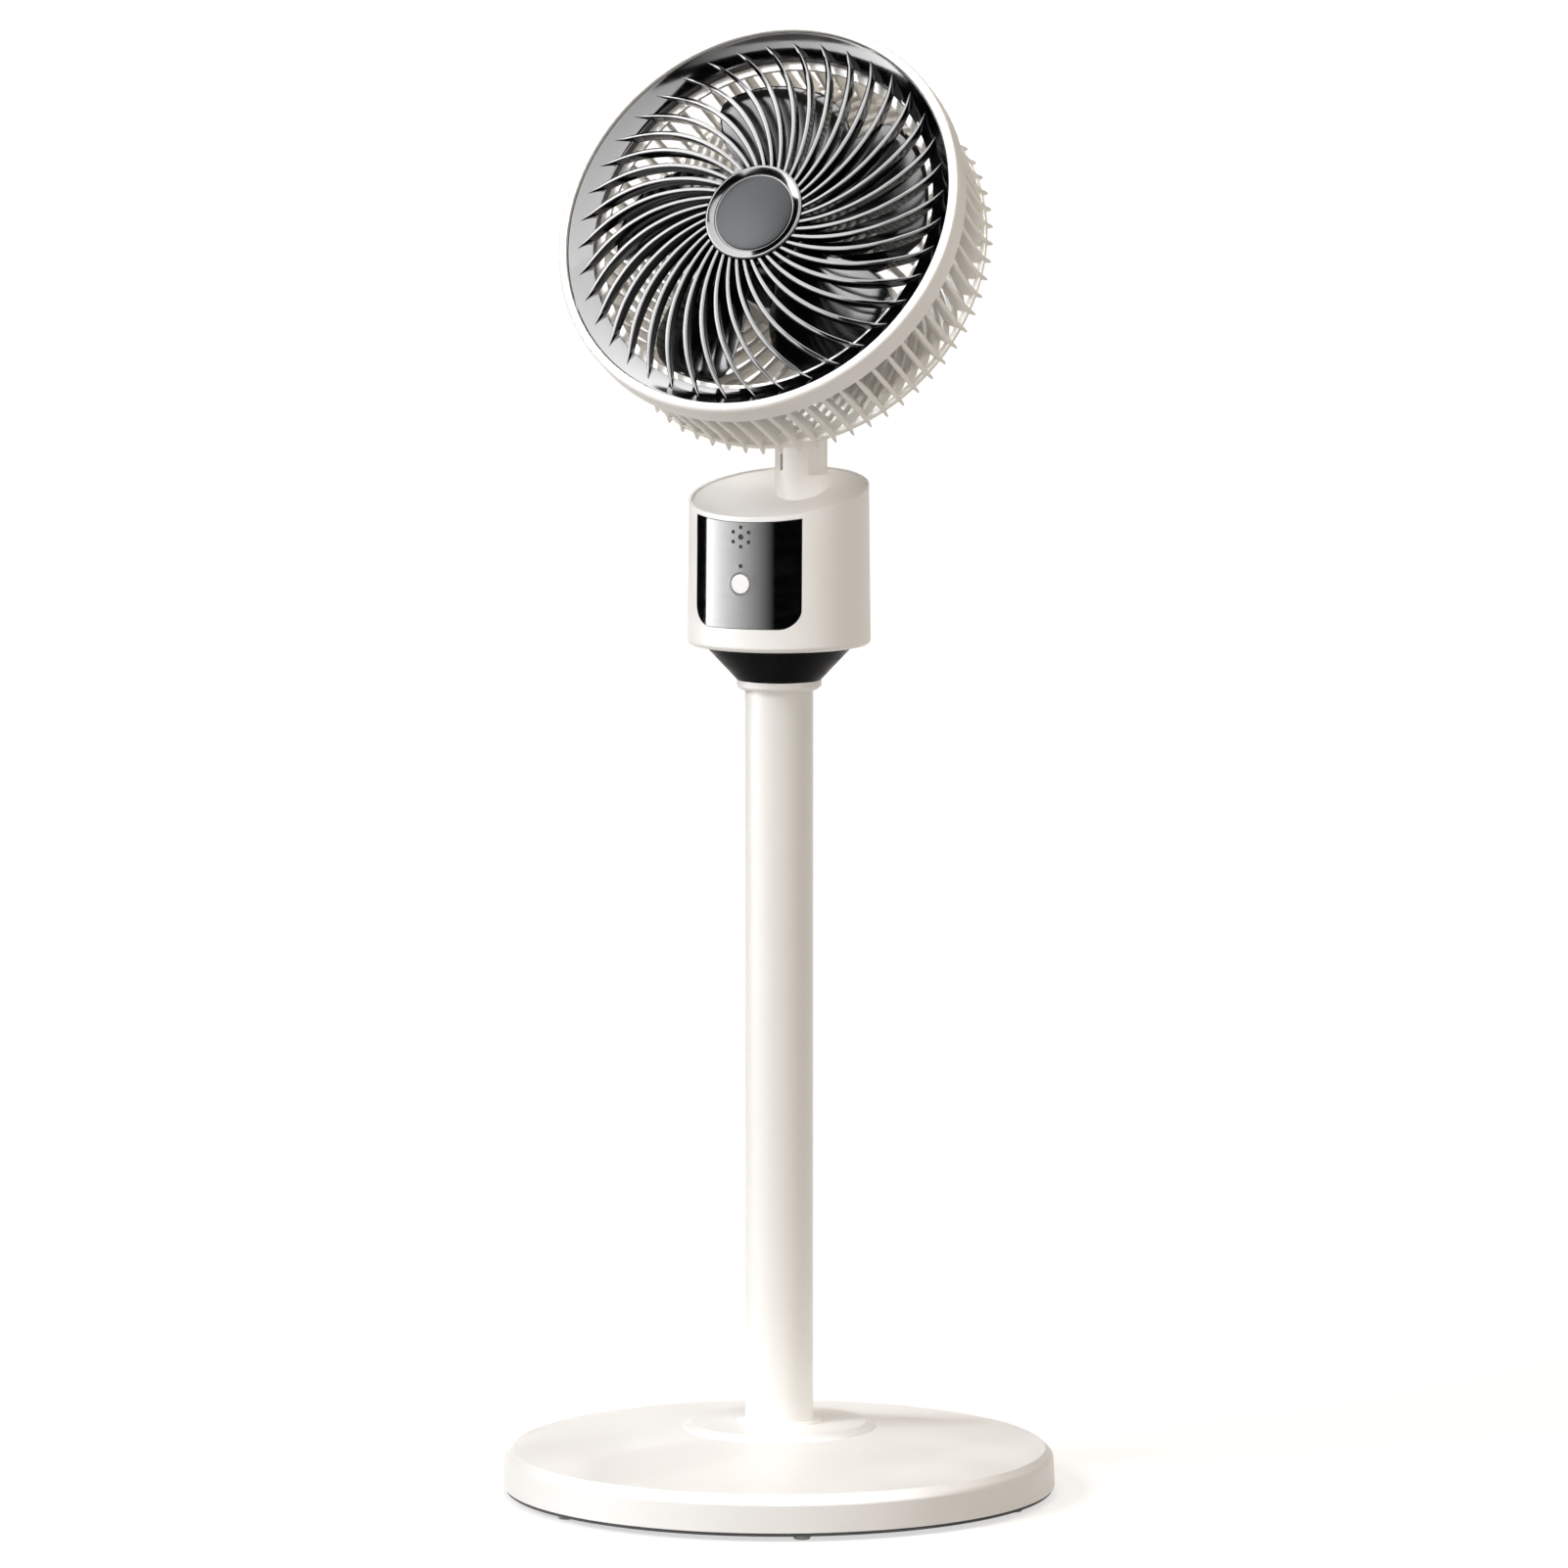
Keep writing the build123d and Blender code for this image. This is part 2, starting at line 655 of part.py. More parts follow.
def power_button():
    """Round cap with a softened edge and a stem to the switch."""
    face = button_face_y() - BUTTON_PROUD
    cap = along_y(BUTTON_R, 0, BUTTON_Z, face, face + 2.6)
    cap = fillet(cap.edges().sort_by(Axis.Y)[0], 0.5)
    return cap + along_y(1.8, 0, BUTTON_Z, face + 2.6, SWITCH_FRONT_Y - PLUNGER_PROUD)


def switch_plunger():
    """Plunger that the button's stem rests on, running in the switch."""
    return along_y(PLUNGER_R, 0, BUTTON_Z, SWITCH_FRONT_Y - PLUNGER_PROUD, SWITCH_FRONT_Y + PLUNGER_IN)


def push_switch():
    """Switch body on the board, with the plunger's bore."""
    body = block((-3, 3), (SWITCH_FRONT_Y, BOARD_Y), (BUTTON_Z - 3, BUTTON_Z + 3))
    bore_end = SWITCH_FRONT_Y + PLUNGER_IN + BUTTON_TRAVEL + 0.6
    return body - along_y(PLUNGER_R + RUNNING, 0, BUTTON_Z, SWITCH_FRONT_Y, bore_end)


def circuit_board():
    """Board behind the panel."""
    low = FLOOR_TOP_Z + 4
    return block((-BOARD_HALF_W, BOARD_HALF_W), (BOARD_Y, BOARD_Y + BOARD_T), (low, SPEED_Z + 7))


def indicator_lights():
    """One small light on the board behind each lens, with a light pipe to it."""
    lights = []
    for radius, x, z in lens_spots():
        front = -sqrt(box_wall_r(z) ** 2 - x ** 2) + LENS_SET_IN + LENS_L
        chip = block((x - 1.4, x + 1.4), (BOARD_Y - 0.8, BOARD_Y), (z - 0.9, z + 0.9))
        lights.append(chip + along_y(radius * 0.8, x, z, front + BODY_GAP, BOARD_Y - 0.8))
    return group(lights)


def board_carrier():
    """Frame on the floor that holds the board upright."""
    low = FLOOR_TOP_Z
    foot = block((-BOARD_HALF_W, BOARD_HALF_W), (BOARD_Y, BOARD_Y + 7), (low, low + 4))
    back = BOARD_Y + BOARD_T
    rails = [block((x - 2, x + 2), (back, back + 3), (low + 4, low + 44)) for x in (-22, 22)]
    return foot + rails


def battery_cells():
    """Two upright cells with raised caps."""
    cell = disc(CELL_R, CELL_Z, CELL_Z + CELL_H - 1.5) + disc(2.8, CELL_Z + CELL_H - 1.5, CELL_Z + CELL_H)
    return group([Pos(x, y, 0) * cell for x, y in CELL_SPOTS])


def battery_holder():
    """Tray with a low cup round each cell."""
    (x_a, y_a), (x_b, y_b) = CELL_SPOTS
    tray = block((min(x_a, x_b) - 5, max(x_a, x_b) + 5), (y_a, y_b), (FLOOR_TOP_Z, CELL_Z))
    for x, y in CELL_SPOTS:
        tray += Pos(x, y, 0) * disc(CELL_R + 1.5, FLOOR_TOP_Z, CELL_Z + 9)
    for x, y in CELL_SPOTS:
        tray -= Pos(x, y, 0) * disc(CELL_R + SNUG, CELL_Z, CELL_Z + 9)
    return tray


def swing_motor():
    """Small gear motor with two ears and a shaft that is off its middle."""
    body = Pos(MOTOR_BODY_X, 0, 0) * disc(MOTOR_BODY_R, MOTOR_Z + 1, MOTOR_Z + 19)
    ears = block(
        (MOTOR_BODY_X - 3.5, MOTOR_BODY_X + 3.5), (-MOTOR_EAR_X - 3.5, MOTOR_EAR_X + 3.5),
        (MOTOR_Z, MOTOR_Z + 1),
    )
    ears += Pos(MOTOR_BODY_X, 0, 0) * disc(MOTOR_BODY_R, MOTOR_Z, MOTOR_Z + 1)
    for side in (-1, 1):
        ears -= Pos(MOTOR_BODY_X, side * MOTOR_EAR_X, 0) * disc(EAR_SCREW[0] + SLIP, MOTOR_Z, MOTOR_Z + 1)
    pocket = Pos(GEAR_CENTRES, 0, 0) * disc(2.5 + RUNNING, MOTOR_Z, MOTOR_Z + 6)
    return body + ears - pocket


def swing_motor_screws():
    """Screws down through the ears into the floor's posts."""
    shank_r, head_r, head_h = EAR_SCREW
    ear_top = MOTOR_Z + 1
    screw = disc(shank_r, MOTOR_Z - 7, ear_top) + disc(head_r, ear_top, ear_top + head_h)
    return group([Pos(MOTOR_BODY_X, side * MOTOR_EAR_X, 0) * screw for side in (-1, 1)])


def swing_pinion():
    """Pinion and output shaft of the swing motor, turned so that a gap faces the fixed gear."""
    shaft = disc(2.5, GEAR_TOP_Z, MOTOR_Z + 5.6)
    wheel = Rot(0, 0, 180 / PINION_TEETH) * involute_gear(PINION_TEETH, 1.0, GEAR_Z, GEAR_TOP_Z)
    return Pos(GEAR_CENTRES, 0, 0) * (wheel + disc(1.2, GEAR_Z, GEAR_TOP_Z) + shaft)


def charging_socket():
    """Slot-shaped charging socket behind the rear wall, with its tongue."""
    rear = PORT_REAR_Y
    height = (PORT_Z - PORT_HALF_H, PORT_Z + PORT_HALF_H)
    can = block((-PORT_HALF_W, PORT_HALF_W), (rear - 7.4, rear), height)
    can = fillet(can.edges().filter_by(Axis.Y), 1.5)
    mouth = block((-4.2, 4.2), (rear - 6.4, rear), (PORT_Z - 1.3, PORT_Z + 1.3))
    mouth = fillet(mouth.edges().filter_by(Axis.Y), 1.2)
    tongue = block((-3.3, 3.3), (rear - 6.6, rear - 1), (PORT_Z - 0.35, PORT_Z + 0.35))
    board_top = PORT_Z - PORT_HALF_H
    board_low = board_top - BOARD_T
    board = block((-7, 7), (rear - 10, rear - 2.5), (board_low, board_top))
    legs = [block((x - 1, x + 1), (rear - 8.9, rear - 4.9), (FLOOR_TOP_Z, board_low)) for x in (-5, 5)]
    return can - mouth + tongue + board + legs


# Neck and tilt joint

def neck_screw_spots(shape):
    """One copy of a shape for each screw under the neck."""
    return [Pos(0, NECK_Y, 0) * spot for spot in around(shape, 3, radius=NECK_SCREW_CIRCLE_R, start=-90)]


def neck_post():
    """Post with a round foot, one flat side, a springy cheek beside the core, and a fork for the lug."""
    beyond = NECK_R + 5
    side_view = Pos(0, PIVOT_Z) * Circle(NECK_R)
    side_view += Pos(0, (NECK_BASE_Z + PIVOT_Z) / 2) * Rectangle(2 * NECK_R, PIVOT_Z - NECK_BASE_Z)
    post = disc(NECK_R, NECK_BASE_Z, PIVOT_Z + NECK_R)
    post = post & extrude(Plane.YZ * side_view, amount=beyond, both=True)
    post -= block((NECK_FLAT, beyond), (-beyond, beyond), (NECK_FOOT_TOP_Z, PIVOT_Z + beyond))
    slot_round = SLOT_BOTTOM_Z + SLOT_W / 2
    post -= block((-CORE_HALF - SLOT_W, -CORE_HALF), (-beyond, beyond), (slot_round, PIVOT_Z + beyond))
    post -= along_y(SLOT_W / 2, -CORE_HALF - SLOT_W / 2, slot_round, -beyond, beyond)
    post -= block((-CORE_HALF, CORE_HALF), (-beyond, beyond), (CORE_TOP_Z, PIVOT_Z + beyond))
    post -= along_x(TILT_HEAD_R + BODY_GAP, 0, PIVOT_Z, -beyond, -TILT_NUT_X)
    post -= along_x(TILT_BOLT_R + RUNNING, 0, PIVOT_Z, -beyond, beyond)
    post -= disc(2.2, NECK_BASE_Z, CORE_TOP_Z)
    pilot = disc(NECK_SCREW[0] + RUNNING, NECK_BASE_Z, NECK_BASE_Z + NECK_SCREW_L + 1)
    post = Pos(0, NECK_Y, 0) * post
    for spot in neck_screw_spots(pilot):
        post -= spot
    return post


def neck_screws():
    """Screws up through the deck's socket into the neck."""
    screw = screw_up(NECK_SCREW, NECK_BASE_Z - 3 - SNUG - NECK_SCREW[2], NECK_BASE_Z + NECK_SCREW_L)
    return group(neck_screw_spots(screw))


def neck_wire():
    """Cable to the fan motor, from the box up inside the neck."""
    return Pos(0, NECK_Y, 0) * disc(1.7, NECK_BASE_Z - 8, CORE_TOP_Z - 1)


def tilt_bolt():
    """Bolt across the fork, with a low round head on the flat side."""
    shank = along_x(TILT_BOLT_R, NECK_Y, PIVOT_Z, -TILT_NUT_X - TILT_NUT_T - 0.6, NECK_FLAT)
    return shank + along_x(TILT_HEAD_R, NECK_Y, PIVOT_Z, NECK_FLAT, NECK_FLAT + TILT_HEAD_T)


def tilt_nut():
    """Nut in the cheek's pocket that sets the tilt joint's grip."""
    low = -TILT_NUT_X - TILT_NUT_T
    nut = Pos(low, NECK_Y, PIVOT_Z) * Rot(0, 90, 0) * hexagon(TILT_NUT_FLATS, 0, TILT_NUT_T)
    return nut - along_x(TILT_BOLT_R + RUNNING, NECK_Y, PIVOT_Z, low, -TILT_NUT_X)


def tilt_washers():
    """Friction washers between the lug and the two sides of the fork."""
    near = LUG_HALF + BODY_GAP
    spans = [(near, CORE_HALF - RUNNING), (RUNNING - CORE_HALF - SLOT_W, -near)]
    washers = [along_x(LUG_R - 1, NECK_Y, PIVOT_Z, *span) for span in spans]
    bore = along_x(TILT_BOLT_R + RUNNING, NECK_Y, PIVOT_Z, -NECK_R, NECK_R)
    return group([washer - bore for washer in washers])


# Head, in its own frame

def bracket_screw_spots(shape):
    """One copy of a shape for each screw of the tilt bracket."""
    return [Pos(x, y, 0) * shape for x in (-11.5, 11.5) for y in (-19, 9)]


def tilt_bracket():
    """Lug round the tilt bolt and the foot that is screwed to the motor housing."""
    back = -HOUSING_BACK
    lug = Pos(-PIVOT_DOWN, -PIVOT_BACK) * Circle(LUG_R)
    foot = Pos(-7, back - 2.1) * Rectangle(34, 3.6)
    side_view = make_hull((lug + foot).edges())
    web = extrude(Plane.YZ * side_view, amount=LUG_HALF, both=True)
    plate = block((-16, 16), (-25, 15), (back - 3.9, back - 0.3))
    bracket = web + plate
    bracket -= along_x(TILT_BOLT_R + RUNNING, -PIVOT_DOWN, -PIVOT_BACK, -LUG_HALF, LUG_HALF)
    for spot in bracket_screw_spots(disc(NECK_SCREW[0] + SLIP, back - 4, back)):
        bracket -= spot
    return bracket


def bracket_screws():
    """Screws through the bracket into the housing's back wall."""
    back = -HOUSING_BACK
    screw = screw_up(NECK_SCREW, back - 5.7, back + 5)
    return group(bracket_screw_spots(screw))


def cage_screw_spots(shape):
    """One copy of a shape for each screw between the housing flange and the cage."""
    return around(shape, 4, radius=CAGE_HUB_R - 2.6, start=45)


def motor_housing():
    """Cup round the motor: back wall, bearing tube, side wall and the flange that carries the cage."""
    back = -HOUSING_BACK
    inner_r = HOUSING_R - HOUSING_WALL
    tube_r = BEARING_R + RUNNING
    cup = turned(
        (tube_r, back), (HOUSING_R - 3, back), (HOUSING_R, back + 3), (HOUSING_R, -CAGE_REAR - 2.4),
        (CAGE_HUB_R, -CAGE_REAR - 2.4), (CAGE_HUB_R, -CAGE_REAR - 0.2), (HOUSING_R, -CAGE_REAR - 0.2),
        (HOUSING_R, -HOUSING_FRONT), (inner_r, -HOUSING_FRONT), (inner_r, back + 2.5),
        (tube_r + 2.8, back + 2.5), (tube_r + 2.8, back + 30), (tube_r, back + 30),
    )
    for spot in bracket_screw_spots(disc(3.2, back + 2.4, back + 6.5)):
        cup += spot
    for spot in bracket_screw_spots(disc(NECK_SCREW[0] + RUNNING, back, back + 6.5)):
        cup -= spot
    for spot in cage_screw_spots(disc(CAGE_SCREW[0] + SLIP, -CAGE_REAR - 3, -CAGE_REAR)):
        cup -= spot
    return cup


def motor_cover():
    """Front cover of the housing with the shaft hole."""
    plate = ring(HOUSING_R, SHAFT_R + 4, -HOUSING_FRONT, 2 - HOUSING_FRONT)
    bore_r = HOUSING_R - HOUSING_WALL
    lip = ring(bore_r - SNUG, bore_r - 2, -HOUSING_FRONT - 2, -HOUSING_FRONT)
    return plate + lip


def motor_bearings():
    """Two bearings in the tube of the housing."""
    low = -HOUSING_BACK + 4
    bearing = ring(BEARING_R, SHAFT_R + RUNNING, low, low + BEARING_W)
    return group([bearing, Pos(0, 0, 20) * bearing])


def stator_span():
    """Lowest and highest point of the stator."""
    low = -HOUSING_BACK + 10
    return low, low + STATOR_H


def motor_stator():
    """Iron core with its teeth, on the bearing tube."""
    low, high = stator_span()
    inner = BEARING_R + RUNNING + 2.8 + RUNNING
    core = ring(inner + 3, inner, low, high)
    tooth = block((inner + 2, STATOR_R - 1), (-1.8, 1.8), (low, high))
    shoe = ring(STATOR_R, STATOR_R - 2, low, high) & block((0, STATOR_R + 1), (-5.6, 5.6), (low, high))
    for spot in around(tooth + shoe, STATOR_TEETH):
        core += spot
    return core


def stator_coils():
    """One winding round each tooth."""
    low, high = stator_span()
    inner = BEARING_R + RUNNING + 2.8 + 3.4
    outer = STATOR_R - 2.3
    coil = block((inner, outer), (-3.1, 3.1), (low - 1.3, high + 1.3))
    coil -= block((inner, outer), (-1.9, 1.9), (low - 0.1, high + 0.1))
    return group(around(coil, STATOR_TEETH))


def front_ring():
    """White ring round the grille, rounded to the front."""
    outer = turned(
        (RING_GROOVE_R, -1.6), (RING_R - RING_WALL, -3), (RING_R - RING_WALL, -RING_DEPTH),
        (RING_R, -RING_DEPTH), (RING_R, RING_FRONT - 2.4), (RING_R - 0.8, RING_FRONT - 0.8),
        (RING_R - 2.4, RING_FRONT), (RING_GROOVE_R + 0.9, RING_FRONT - 0.2), (RING_GROOVE_R, 0.6),
    )
    return outer


def rib_envelope():
    """Revolved form that gives every grille rib its front and back edges."""
    return turned(
        (HUB_R - 4, HUB_PROUD - 1.2), (HUB_R, HUB_PROUD - 1.2), (70, 3.6), (DISH_EDGE_R - 8, -0.8),
        (RIB_TIP_R + 2, -DISH_DROP * 0.6), (RIB_TIP_R + 2, -9), (DISH_EDGE_R, -DISH_DROP - 2.2),
        (70, -5.0), (HUB_R, -1.6), (HUB_R - 4, -1.6),
    )


def front_grille():
    """Dished annulus, swept ribs and the hub ring in one moulding."""
    dish = turned(
        (DISH_EDGE_R, -DISH_DROP), (DISH_RIM_R, -0.6), (DISH_RIM_R, -11.5), (DISH_RIM_R - 1.8, -11.5),
        (DISH_RIM_R - 1.8, -DISH_T - 1.6), (DISH_EDGE_R + 1.4, -DISH_DROP - DISH_T - 0.6),
        (DISH_EDGE_R, -DISH_DROP - DISH_T - 0.6),
    )
    hub = turned(
        (0, -2), (HUB_R, -2), (HUB_R, HUB_PROUD - 1.4), (HUB_R - 1.4, HUB_PROUD),
        (BADGE_R + 1.6, HUB_PROUD), (BADGE_R + SNUG, HUB_PROUD - 1.6), (0, HUB_PROUD - 1.6),
    )
    strip = spiral_strip(HUB_R - 1.5, RIB_TIP_R, RIB_SWEEP, RIB_LEAVE, RIB_T, -12, HUB_PROUD + 1)
    rib = strip & rib_envelope()
    above_dish = turned(
        (DISH_EDGE_R + 0.6, -DISH_DROP - 0.2), (DISH_RIM_R, -1.0), (DISH_RIM_R, -14),
        (DISH_EDGE_R + 0.6, -14),
    )
    rib = (rib - above_dish).solids().sort_by(SortBy.VOLUME)[-1]
    return dish.fuse(hub, *around(rib, GRILLE_RIBS))


def grille_badge():
    """Plain satin disc on the hub."""
    return turned(
        (0, HUB_PROUD - 1.6), (BADGE_R, HUB_PROUD - 1.6), (BADGE_R, HUB_PROUD - 0.4),
        (BADGE_R - 0.6, HUB_PROUD + 0.1), (0, HUB_PROUD + 0.1),
    )


def rear_cage():
    """Side ribs with pointed corners, hoops, and rear ribs swept in to the motor."""
    rear = -CAGE_REAR
    front_hoop = ring(DISH_RIM_R + 0.6, DISH_RIM_R - 3.2, -CAGE_FRONT - 3.5, -CAGE_FRONT)
    front_hoop += ring(RING_R - RING_WALL - SNUG, DISH_RIM_R - 3.2, -CAGE_FRONT - 3.5, -CAGE_FRONT - 1)
    front_hoop += ring(DISH_RIM_R, CAGE_LIP_R, -CAGE_FRONT - 1 - CAGE_LIP_T, -CAGE_FRONT - 1)
    corner_hoop = ring(CAGE_CORNER_R + 1.2, CAGE_CORNER_R - 1.6, rear + 3, rear + 6)
    middle_hoop = ring(MID_RING_R + 1.4, MID_RING_R - 1.4, rear + 1, rear + 6)
    hub = ring(CAGE_HUB_R, HOUSING_R + SNUG, rear, rear + CAGE_RIB_DEPTH)
    side_view = Plane.XZ * make_face(Polyline(
        (DISH_RIM_R - 2.8, -CAGE_FRONT - 0.4), (RING_R - RING_WALL - 1.2, -CAGE_FRONT - 1.4),
        (CAGE_CORNER_R + 2.2, rear + 9), (CAGE_R, rear + 1.2), (CAGE_R - 4, rear),
        (CAGE_CORNER_R - 10, rear), (CAGE_CORNER_R - 7, rear + CAGE_RIB_DEPTH + 2), close=True,
    ))
    side_rib = extrude(side_view, amount=CAGE_RIB_T / 2, both=True)
    reach = CAGE_CORNER_R - 2
    long_rib = spiral_strip(
        CAGE_HUB_R - 1, reach, CAGE_SWEEP, CAGE_SWEEP / 2, CAGE_SLAT_T, rear, rear + CAGE_RIB_DEPTH
    )
    short_rib = long_rib - disc(MID_RING_R, rear, rear + CAGE_RIB_DEPTH)
    side_ribs = around(side_rib, CAGE_RIBS, start=CAGE_SWEEP)
    long_ribs = around(long_rib, CAGE_RIBS // 2)
    short_ribs = around(short_rib, CAGE_RIBS // 2, start=360 / CAGE_RIBS)
    cage = hub.fuse(corner_hoop, middle_hoop, front_hoop, *side_ribs, *long_ribs, *short_ribs)
    for spot in cage_screw_spots(disc(CAGE_SCREW[0] + RUNNING, rear, rear + 7)):
        cage -= spot
    return cage


def cage_screws():
    """Screws through the housing flange into the hub of the cage."""
    low = -CAGE_REAR - 4.2
    screw = screw_up(CAGE_SCREW, low, -CAGE_REAR + 6)
    return group(cage_screw_spots(screw))


# Rotor, in the head's frame

def motor_shaft():
    """Steel shaft from the rear bearing to the blade nut."""
    return disc(SHAFT_R, -HOUSING_BACK + 3.4, -FAN_HUB_FRONT + 5)


def rotor_can():
    """Steel cup that carries the magnets round the stator."""
    low = -HOUSING_BACK + 8.5
    top = -HOUSING_FRONT - 4.5
    return turned(
        (SHAFT_R + RUNNING, top), (CAN_R - 2, top), (CAN_R - 2, low), (CAN_R, low), (CAN_R, top + 1.6),
        (7, top + 1.6), (7, top + 3.6), (SHAFT_R + RUNNING, top + 3.6),
    )


def rotor_magnet():
    """Magnet ring inside the can."""
    low, high = stator_span()
    return ring(CAN_R - 2 - RUNNING, STATOR_R + 0.5, low, high)


def blade_section(radius, chord, pitch, lead, height):
    """Thin bowed section of a blade, square to the radius."""
    bow = chord * 0.05
    half = chord / 2
    lower = ThreePointArc((-half, 0), (0, bow), (half, 0))
    upper = ThreePointArc((half, BLADE_T * 0.5), (0, bow + BLADE_T), (-half, BLADE_T * 0.5))
    joins = Line((half, 0), (half, BLADE_T * 0.5)) + Line((-half, BLADE_T * 0.5), (-half, 0))
    face = make_face(lower + upper + joins)
    plane = Plane(origin=(radius, lead, height), x_dir=(0, 1, 0), z_dir=(1, 0, 0))
    return plane * Rot(0, 0, pitch) * face


def fan_blades():
    """Hub cup and five wide blades whose roots nearly close the middle of the fan."""
    front = -FAN_HUB_FRONT
    back = -FAN_HUB_BACK
    middle = (front + back) / 2 + 1
    span = BLADE_TIP_R - FAN_HUB_R
    blade = loft([
        blade_section(FAN_HUB_R - 5, 25, 38, 0, middle),
        blade_section(FAN_HUB_R + span * 0.3, 58, 27, 4, middle),
        blade_section(FAN_HUB_R + span * 0.62, 76, 20, 13, middle),
        blade_section(BLADE_TIP_R + 6, 58, 15, 32, middle),
    ])
    trim = disc(BLADE_TIP_R, back - 6, front + 6) - disc(FAN_HUB_R - 2.2, back - 6, front + 6)
    blade = (blade & trim).solids().sort_by(SortBy.VOLUME)[-1]
    hub = turned(
        (SHAFT_R + RUNNING, back + 2), (8, back + 2), (8, front - 2.4), (FAN_HUB_R - 2.6, front - 2.4),
        (FAN_HUB_R - 2.6, back), (FAN_HUB_R, back), (FAN_HUB_R, front - 3), (FAN_HUB_R - 3, front),
        (SHAFT_R + RUNNING, front),
    )
    return hub.fuse(*around(blade, BLADES, start=-60))


def blade_nut():
    """Spinner nut that holds the blades on the shaft."""
    low = -FAN_HUB_FRONT
    nut = turned((0, low), (9, low), (9, low + 3.5), (6.5, low + 7), (0, low + 7))
    return nut - disc(SHAFT_R + RUNNING, low, low + 5.2)


def head_nodes():
    """Every head piece by name, in the head's own frame."""
    makers = [
        tilt_bracket, bracket_screws, motor_housing, motor_cover, motor_bearings, motor_stator,
        stator_coils, front_ring, front_grille, grille_badge, rear_cage, cage_screws,
        motor_shaft, rotor_can, rotor_magnet, fan_blades, blade_nut,
    ]
    return {maker.__name__: maker() for maker in makers}


def standing_nodes():
    """Every other piece by name, where it stands."""
    makers = [
        base_cover, base_weight, base_bottom_plate, base_feet, base_screws, pole_flange, pole_tube,
        pole_plug, pole_washer, pole_bolt, pole_collar, swivel_cone, swivel_spindle, thrust_washer,
        swivel_gear, spindle_nut, box_shell, box_floor, floor_screws, top_deck, control_panel,
        speed_lenses, status_lens, button_bezel, power_button, switch_plunger, push_switch,
        circuit_board, indicator_lights, board_carrier, battery_cells, battery_holder, swing_motor,
        swing_motor_screws, swing_pinion, charging_socket, neck_post, neck_screws, neck_wire,
        tilt_bolt, tilt_nut, tilt_washers,
    ]
    return {maker.__name__: maker() for maker in makers}


nodes = standing_nodes()
nodes.update({name: HEAD * shape for name, shape in head_nodes().items()})

os.makedirs("parts", exist_ok=True)
for name, shape in nodes.items():
    export_step(shape, f"parts/{name}.step")
print(len(nodes), "nodes; pivot", round(PIVOT_Y, 2), round(PIVOT_Z, 2), "ring", round(RING_Y, 2), RING_Z)
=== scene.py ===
# %% [markdown]
# A rechargeable pedestal fan, dressed for its picture
#
# The fan is mostly two plastics: satin white ABS for the covers, and high gloss black ABS for the
# grille, the panel and the swivel cone. It arrives here as a frame of finished solids that already
# stand in the right place. This lesson gives each of them its surface, builds finer meshes where the
# real moulding is softer than the solid, and sets up a small studio round it.

import json
from math import atan2, cos, pi, radians, sin, tan

import bmesh
import bpy
from mathutils import Matrix, Vector


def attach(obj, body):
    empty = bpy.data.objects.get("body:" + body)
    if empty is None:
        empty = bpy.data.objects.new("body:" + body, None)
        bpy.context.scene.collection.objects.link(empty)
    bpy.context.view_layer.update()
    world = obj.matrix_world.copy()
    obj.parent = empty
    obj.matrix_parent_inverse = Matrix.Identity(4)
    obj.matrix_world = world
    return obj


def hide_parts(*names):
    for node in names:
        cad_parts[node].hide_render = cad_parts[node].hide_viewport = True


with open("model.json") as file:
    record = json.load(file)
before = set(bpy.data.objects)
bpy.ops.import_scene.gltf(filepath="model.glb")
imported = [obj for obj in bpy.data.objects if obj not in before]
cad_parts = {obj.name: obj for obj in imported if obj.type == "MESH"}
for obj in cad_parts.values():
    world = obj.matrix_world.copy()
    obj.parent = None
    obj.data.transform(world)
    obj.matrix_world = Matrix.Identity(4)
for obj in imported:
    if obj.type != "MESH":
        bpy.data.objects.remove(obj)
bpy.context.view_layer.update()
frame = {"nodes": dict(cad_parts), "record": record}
NODES = frame["nodes"]
MM = 0.001

# %% [markdown]
# The camera stands seven metres off, 25 degrees round to the right, and looks slightly down. A long
# lens from far away keeps the pole parallel, which a short lens close up would not. The lens shift
# slides the picture a few pixels, so that the pole stands where it should in the frame.

# %% Camera
CAMERA_DISTANCE = 7.0
CAMERA_HEIGHT = 1.2865
CAMERA_AZIMUTH = 25.0
CAMERA_PITCH = 7.105
CAMERA_LENS = 280.9
CAMERA_SHIFT = 0.0031


def make_camera():
    """Camera at the photograph's viewing angle."""
    data = bpy.data.cameras.new("camera")
    data.sensor_width = 36.0
    data.lens = CAMERA_LENS
    data.shift_x = CAMERA_SHIFT
    data.clip_end = 200.0
    camera = bpy.data.objects.new("camera", data)
    turn = radians(CAMERA_AZIMUTH)
    camera.location = (CAMERA_DISTANCE * sin(turn), -CAMERA_DISTANCE * cos(turn), CAMERA_HEIGHT)
    camera.rotation_euler = (radians(90 - CAMERA_PITCH), 0, turn)
    bpy.context.scene.collection.objects.link(camera)
    bpy.context.scene.camera = camera
    return camera


camera = make_camera()
print("camera at", [round(v, 3) for v in camera.location])

# %% [markdown]
# Colours are picked on screen as sRGB hex values, but a shader adds up light, which is linear. One
# function turns the first into the second. A second small function adds a shader node with its
# settings and its links, so that each finish below reads as a short list.

# %% Colours and shader nodes
def linear(hex_colour):
    """Linear RGBA of an sRGB hex colour."""
    parts = [int(hex_colour[k:k + 2], 16) / 255 for k in (1, 3, 5)]
    return (*[p / 12.92 if p <= 0.04045 else ((p + 0.055) / 1.055) ** 2.4 for p in parts], 1.0)


